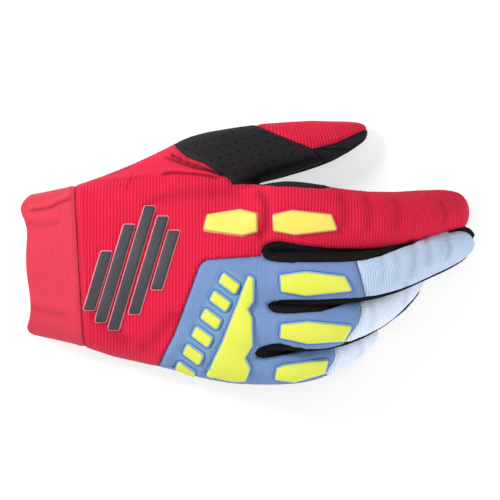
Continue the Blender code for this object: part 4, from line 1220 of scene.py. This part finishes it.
def facesOf(panel):
    number = panelNames.index(panel)
    return [face for face in surface.faces if face.material_index == number]


def borderOf(faces):
    chosen = set(faces)
    return [loop for face in faces for loop in face.loops
            if sum(other in chosen for other in loop.edge.link_faces) == 1]


def pullIn(faces, distance):
    # How far each vertex on the rim of the faces moves into them
    inward = {}
    for loop in borderOf(faces):
        start, end = loop.vert, loop.link_loop_next.vert
        edge = (end.co - start.co).normalized()
        for vertex in (start, end):
            inward.setdefault(vertex, Vector())
            inward[vertex] += loop.face.normal.cross(edge).normalized()
    return {vertex: way.normalized() * distance for vertex, way in inward.items()}


def patchOf(faces):
    # The mesh of some faces as lists, with a tree to find places on it
    numbers, points, polygons, normals = {}, [], [], []
    for face in faces:
        for vertex in face.verts:
            if vertex not in numbers:
                numbers[vertex] = len(points)
                points.append(vertex.co.copy())
                normals.append(vertex.normal.copy())
        polygons.append([numbers[vertex] for vertex in face.verts])
    return {"numbers": numbers, "points": points, "polygons": polygons, "normals": normals,
            "tree": BVHTree.FromPolygons(points, polygons)}


def smoothNormal(patch, face, place):
    corners = patch["polygons"][face]
    weights = poly_3d_calc([patch["points"][corner] for corner in corners], place)
    normals = [patch["normals"][corner] * weight for corner, weight in zip(corners, weights)]
    return sum(normals, Vector()).normalized()


def addPanel(name):
    slot = panelSlots[name]
    faces = facesOf(name)
    moves = pullIn(faces, seamGap / 2)
    weaveLayer = surface.verts.layers.float_vector["weave"]
    shadeLayer = surface.verts.layers.float["shade"]
    patch = patchOf(faces)
    outer, polygons, count = patch["numbers"], patch["polygons"], len(patch["points"])
    points = [vertex.co + moves.get(vertex, Vector()) for vertex in outer]
    points += [point - vertex.normal * walls.get(name, panelWall) for vertex, point in zip(outer, points)]
    weave = [vertex[weaveLayer][:] for vertex in outer] * 2
    shade = [vertex[shadeLayer] for vertex in outer] * 2
    polygons += [[corner + count for corner in reversed(corners)] for corners in polygons]
    for loop in borderOf(faces):
        start, end = outer[loop.vert], outer[loop.link_loop_next.vert]
        polygons.append([end, start, start + count, end + count])
    # the ring and little tips take the lighter copy of the pale blue: painted light
    look = "pale_blue_painted_light" if name in ("ring_tip", "little_tip") else slot
    piece = meshObject(name + "_cloth", points, polygons, materials[look], weave, shade)
    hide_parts(name)
    return piece


panels = {name: addPanel(name) for name in panelNames}
print("panels:", len(panels))


# Raised rubber: each piece follows the cloth under its outline
def carrierPatch(carrier):
    wanted = {"back", carrier} if carrier else {"back", "index", "middle", "ring", "little"}
    return patchOf([face for face, region in zip(surface.faces, faceRegions)
                    if region in wanted and face.material_index in (1, 2)])


carriers = {carrier: carrierPatch(carrier) for carrier in ("", "index", "middle", "ring", "little")}
down = Vector((0, 0, -1))
above = 0.2  # metres, higher than all of the glove
settle = {"drop": 9 * mm, "steepest": 0.35, "step": 0.25 * mm, "steps": 60}


def onCloth(carrier, x, y, level):
    # Straight down onto the cloth. Where that is missing, steep or far below the level: from the
    # first good place towards the thumb, back along the cloth
    patch = carriers[carrier]
    for steps in range(settle["steps"] + 1):
        ray = Vector((x, y + steps * settle["step"], above))
        place, normal, face, distance = patch["tree"].ray_cast(ray, down)
        if place is not None and normal.z >= settle["steepest"] and place.z >= level - settle["drop"]:
            break
    if steps:
        way = Vector((0, -1, 0))
        way = (way - normal * way.dot(normal)).normalized()
        place, normal, face, distance = patch["tree"].find_nearest(place + way * steps * settle["step"])
    return place, smoothNormal(patch, face, place)


rubberMesh = {
    "rings": (0.12, 0.35, 0.65, 1.0),  # shares of the edge's width
    "spacing": 1.1 * mm, "margin": 0.5 * mm, "wall": 0.45, "domeReach": 4 * mm, "sunk": 0.1 * mm,
}


def raisedMesh(contour, carrier, height, edge, dome):
    # Points on rings near the rim and on a grid inside it, joined in plan, then lifted
    rings = [contour] + [grown(contour, -edge * share) for share in rubberMesh["rings"]]
    low, high = contour.min(axis=0), contour.max(axis=0)
    spacing = rubberMesh["spacing"]
    grid = np.array([(x, y) for x in np.arange(low[0], high[0], spacing)
                     for y in np.arange(low[1], high[1], spacing)]).reshape(-1, 2)
    keep = within(contour, grid) & (nearestOn(contour, grid) > edge + rubberMesh["margin"])
    plan = np.concatenate(rings + [grid[keep]])
    edges, first = [], 0
    for ring in rings:
        count = len(ring)
        edges += [(first + n, first + (n + 1) % count) for n in range(count)]
        first += count
    result = delaunay_2d_cdt([Vector(point) for point in plan], edges, [], 0, 1e-7)
    flat = np.array([point[:] for point in result[0]])
    middles = np.array([flat[list(face)].mean(axis=0) for face in result[2]])
    triangles = [list(face) for face, kept in zip(result[2], within(contour, middles)) if kept]
    away = nearestOn(contour, flat)
    share = np.clip(away / edge, 0, 1)
    wall = rubberMesh["wall"]
    rise = height * (wall + (1 - wall) * np.sqrt(1 - (1 - share) ** 2))
    rise += dome * ease(away, edge, rubberMesh["domeReach"])
    level = carriers[carrier]["tree"].ray_cast(Vector((*flat.mean(axis=0), above)), down)[0].z
    top, bottom = [], []
    for (x, y), lift in zip(flat, rise):
        place, normal = onCloth(carrier, x, y, level)
        top.append(place + normal * lift)
        bottom.append(place - normal * rubberMesh["sunk"])
    count = len(top)
    polygons = triangles + [[corner + count for corner in reversed(face)] for face in triangles]
    sides = dict.fromkeys((a, b) for face in triangles for a, b in zip(face, face[1:] + face[:1]))
    polygons += [[b, a, a + count, b + count] for a, b in sides if (b, a) not in sides]
    return top + bottom, polygons


for name, (outline, look, carrier, rim) in raised.items():
    slot = "grey_rubber" if name.startswith("back_rib") else "yellow_rubber"
    material = materials["warm_yellow" if carrier == "index" else slot]
    points, polygons = raisedMesh(contours[name], carrier, look["height"], look["edge"], look["dome"])
    piece = meshObject(name + "_rubber", points, polygons, material)
    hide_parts(name)


def addRims(name, kind, material):
    points, polygons = [], []
    look = rubberRims[kind]
    for piece, (outline, measures, carrier, rim) in raised.items():
        if rim == kind.replace("Groove", ""):
            contour = grown(contours[piece], look["reach"])
            some, faces = raisedMesh(contour, carrier, look["height"], look["edge"], 0.0)
            polygons += [[corner + len(points) for corner in face] for face in faces]
            points += some
    return meshObject(name, points, polygons, materials[material])


addRims("blue_pad_rims", "blue", "blue_rim")
# dark blue band outside the blue rims: painted shade of the pressed-in groove
addRims("blue_pad_groove_shades", "blueGroove", "blue_groove")
addRims("red_pad_rims", "red", "red_rim")
addRims("pink_rib_rims", "pink", "pink_rim")
print("rubber:", len(raised), "pieces")


# Thread: stitches follow lines laid beside the seams
# Name, panel it lies on, panels on the seam's other side, offset, pitch, length and width in mm, look
seamRows = [
    ("cuff_stitches", "back_panel", ["cuff"], 1.3, 2.4, 1.5, 0.34, "redThread"),
    ("knuckle_stitches", "back_panel", ["knuckle_panel"], 1.1, 2.2, 1.4, 0.34, "redThread"),
    ("patch_stitches", "thumb_patch", ["back_panel", "thumb_back", "palm"], 1.3, 2.2, 1.5, 0.34,
     "blackThread"),
    ("palm_stitches", "palm", ["back_panel", "knuckle_panel", "middle_tip", "ring_tip", "little_tip",
                               "thumb_back", "cuff"], 1.4, 2.4, 1.6, 0.36, "blackThread"),
]
shortest = 7  # points in a run of seam that is sewn


def seamChains(panel, others):
    # Ordered runs of vertices along the border between a panel and some others
    number = panelNames.index(panel)
    wanted = {panelNames.index(other) for other in others}
    links = {}
    for edge in surface.edges:
        numbers = {face.material_index for face in edge.link_faces}
        if len(edge.link_faces) == 2 and number in numbers and numbers & wanted:
            a, b = edge.verts
            links.setdefault(a, []).append(b)
            links.setdefault(b, []).append(a)
    chains, left = [], dict(links)
    while left:
        start = next((vertex for vertex in left if len(links[vertex]) == 1), next(iter(left)))
        chain, here, before = [start], start, None
        left.pop(start)
        while True:
            following = [vertex for vertex in links[here] if vertex in left and vertex is not before]
            if not following:
                break
            before, here = here, following[0]
            left.pop(here)
            chain.append(here)
        if len(chain) >= shortest:
            chains.append(chain)
    return chains


def seamPath(name, panel, others, offset):
    faces = facesOf(panel)
    patch = patchOf(faces)
    inward = pullIn(faces, 1.0)
    path, links, ups = [], [], []
    for chain in seamChains(panel, others):
        first = len(path)
        run = np.array([(vertex.co + inward.get(vertex, Vector()) * offset)[:] for vertex in chain])
        for turn in range(3):  # even out the steps of the mesh
            run[1:-1] = (run[:-2] + 2 * run[1:-1] + run[2:]) / 4
        for place in run:
            near, normal, face, distance = patch["tree"].find_nearest(Vector(place))
            normal = smoothNormal(patch, face, near)
            path.append(near + normal * 0.08 * mm)
            ups.append(normal[:])
        links += [(n, n + 1) for n in range(first, len(path) - 1)]
    mesh = bpy.data.meshes.new(name)
    mesh.from_pydata(path, links, [])
    addLayer(mesh, "outward", ups)
    return addObject(name, mesh)


def newTree(name, sockets):
    tree = bpy.data.node_groups.new(name, "GeometryNodeTree")
    tree.interface.new_socket("Geometry", in_out="INPUT", socket_type="NodeSocketGeometry")
    for label, kind in sockets.items():
        tree.interface.new_socket(label, in_out="INPUT", socket_type="NodeSocket" + kind)
    tree.interface.new_socket("Geometry", in_out="OUTPUT", socket_type="NodeSocketGeometry")
    return tree, addNode(tree, "NodeGroupInput").outputs


def scatter(tree, points, instance, way, material, scale=(1, 1, 1)):
    made = output(tree, "GeometryNodeInstanceOnPoints",
                  {"Points": points, "Instance": instance, "Rotation": way, "Scale": scale})
    made = output(tree, "GeometryNodeRealizeInstances", {"Geometry": made})
    made = output(tree, "GeometryNodeSetMaterial", {"Geometry": made, "Material": material})
    addNode(tree, "NodeGroupOutput", {0: made})
    return tree


def namedVector(tree, name, kind):
    return output(tree, "GeometryNodeInputNamedAttribute", {"Name": name}, "Attribute", data_type=kind)


def stitchTree():
    tree, given = newTree("stitches", {"Pitch": "Float", "Length": "Float", "Width": "Float",
                                       "Thread": "Material"})
    line = output(tree, "GeometryNodeMeshToCurve", {"Mesh": given["Geometry"]})
    line = output(tree, "GeometryNodeResampleCurve", {"Curve": line, "Length": given["Pitch"]},
                  mode="LENGTH")
    tangent = output(tree, "GeometryNodeInputTangent")
    way = output(tree, "FunctionNodeAlignRotationToVector", {"Vector": tangent}, axis="X")
    way = output(tree, "FunctionNodeAlignRotationToVector",
                 {"Rotation": way, "Vector": namedVector(tree, "outward", "FLOAT_VECTOR")},
                 axis="Z", pivot_axis="X")
    size = output(tree, "ShaderNodeCombineXYZ", {0: given["Length"], 1: given["Width"], 2: given["Width"]})
    ball = output(tree, "GeometryNodeMeshUVSphere", {"Segments": 8, "Rings": 5, "Radius": 0.5})
    ball = output(tree, "GeometryNodeSetShadeSmooth", {"Geometry": ball})
    return scatter(tree, line, ball, way, given["Thread"], size)


def applied(piece, tree, values):
    # Runs the node tree on the object and keeps the result as a plain mesh
    modifier = piece.modifiers.new("nodes", "NODES")
    modifier.node_group = tree
    for item in tree.interface.items_tree:
        if item.in_out == "INPUT" and item.name in values:
            modifier[item.identifier] = values[item.name]
    graph = bpy.context.evaluated_depsgraph_get()
    mesh = bpy.data.meshes.new_from_object(piece.evaluated_get(graph))
    mesh.name = piece.name
    piece.modifiers.remove(modifier)
    piece.data = mesh
    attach(piece, "root")
    return piece


stitches = stitchTree()
for name, panel, others, offset, pitch, length, width, look in seamRows:
    path = seamPath(name, panel, others, offset * mm)
    applied(path, stitches, {"Pitch": pitch * mm, "Length": length * mm, "Width": width * mm,
                             "Thread": materials[look]})
print("thread:", len(seamRows), "rows")


# Perforations of the thumb patch: a slanted grid let down onto it
perforations = {
    "spacing": 5.2 * mm, "rows": 16, "turn": 19.0, "middle": (-18.0, 51.0), "radius": 0.46 * mm,
    "margin": 2.2 * mm,
}


def perforationTree():
    tree, given = newTree("perforations", {"Spacing": "Float", "Rows": "Int", "Turn": "Rotation",
                                           "Middle": "Vector", "Radius": "Float", "Margin": "Float",
                                           "Hole": "Material"})
    side = maths(tree, "MULTIPLY", given["Spacing"], maths(tree, "SUBTRACT", given["Rows"], 1.0))
    grid = output(tree, "GeometryNodeMeshGrid", {"Size X": side, "Size Y": side,
                                                 "Vertices X": given["Rows"], "Vertices Y": given["Rows"]})
    grid = output(tree, "GeometryNodeTransform",
                  {"Geometry": grid, "Translation": given["Middle"], "Rotation": given["Turn"]})
    hit = addNode(tree, "GeometryNodeRaycast",
                  {"Target Geometry": given["Geometry"], "Attribute": namedVector(tree, "rim", "FLOAT"),
                   "Ray Direction": down, "Ray Length": 0.3}, data_type="FLOAT").outputs
    clear = maths(tree, "GREATER_THAN", hit["Attribute"], given["Margin"])
    missed = maths(tree, "LESS_THAN", maths(tree, "MULTIPLY", clear, hit["Is Hit"]), 0.5)
    kept = addNode(tree, "GeometryNodeCaptureAttribute")
    for kind, label in (("VECTOR", "place"), ("VECTOR", "up"), ("FLOAT", "missed")):
        kept.capture_items.new(kind, label)
    for socket, value in zip(kept.inputs, (grid, hit["Hit Position"], hit["Hit Normal"], missed)):
        tree.links.new(value, socket)
    points = output(tree, "GeometryNodeDeleteGeometry",
                    {"Geometry": kept.outputs[0], "Selection": kept.outputs["missed"]})
    points = output(tree, "GeometryNodeSetPosition", {"Geometry": points, "Position": kept.outputs["place"]})
    way = output(tree, "FunctionNodeAlignRotationToVector", {"Vector": kept.outputs["up"]}, axis="Z")
    # each hole is a thin near-black disc on the patch: the real hole's place, with painted shade for its
    # dark inside
    puck = output(tree, "GeometryNodeMeshCylinder", {"Vertices": 12, "Radius": given["Radius"],
                                                     "Depth": 0.1 * mm})
    return scatter(tree, points, puck, way, given["Hole"])


def addPerforations():
    patch = patchOf(facesOf("thumb_patch"))
    mesh = bpy.data.meshes.new("perforations")
    mesh.from_pydata(patch["points"], [], patch["polygons"])
    addLayer(mesh, "rim", [rimDistance[vertex.index] for vertex in patch["numbers"]])
    piece = addObject("perforations", mesh)
    middle = perforations["middle"]
    values = {"Spacing": perforations["spacing"], "Rows": perforations["rows"],
              "Turn": (0.0, 0.0, math.radians(perforations["turn"])),
              "Middle": (middle[0] * mm, middle[1] * mm, above), "Radius": perforations["radius"],
              "Margin": perforations["margin"], "Hole": materials["hole_shade"]}
    return applied(piece, perforationTree(), values)


addPerforations()
surface.free()
print("perforations added")


# Floor, light and camera
def addArea(name, place, size, power):
    light = bpy.data.lights.new(name, "AREA")
    light.shape = "DISK"
    light.size = size
    light.energy = power
    lamp = addObject(name, light)
    lamp.location = place
    lamp.rotation_euler = (-Vector(place)).to_track_quat("-Z", "Y").to_euler()


def addFloor(half, level):
    mesh = bpy.data.meshes.new("floor")
    mesh.from_pydata([(-half, -half, 0), (half, -half, 0), (half, half, 0), (-half, half, 0)], [],
                     [(0, 1, 2, 3)])
    material, tree, shader = newMaterial("floor", 0.9)
    shader.inputs["Base Color"].default_value = (0.45, 0.45, 0.45, 1)
    shader.inputs["Emission Color"].default_value = (1, 1, 1, 1)
    shader.inputs["Emission Strength"].default_value = 0.62
    mesh.materials.append(material)
    floor = addObject("floor", mesh)
    floor.location.z = level


addFloor(4.0, -0.2 * mm)
addArea("key", (-0.95, 0.50, 0.80), 0.35, 17.0)
addArea("fill", (1.0, -0.9, 0.75), 1.2, 14.0)
addArea("top", (0.1, 0.1, 1.7), 1.0, 4.0)
scene = bpy.context.scene
world = bpy.data.worlds.new("soft light")
world.use_nodes = True
background = world.node_tree.nodes["Background"].inputs
background["Color"].default_value = (1, 1, 1, 1)
background["Strength"].default_value = 0.42
scene.world = world
scene.view_settings.view_transform = "Standard"

view = {"height": 2.6, "level": 0.022, "width": 0.2625, "middle": (0.0008, 0.0011)}
cameraData = bpy.data.cameras.new("camera")
cameraData.sensor_width = 36.0
cameraData.lens = 36.0 * (view["height"] - view["level"]) / view["width"]
cameraData.clip_end = 20.0
camera = addObject("camera", cameraData)
camera.location = (*view["middle"], view["height"])
scene.camera = camera

print("done")
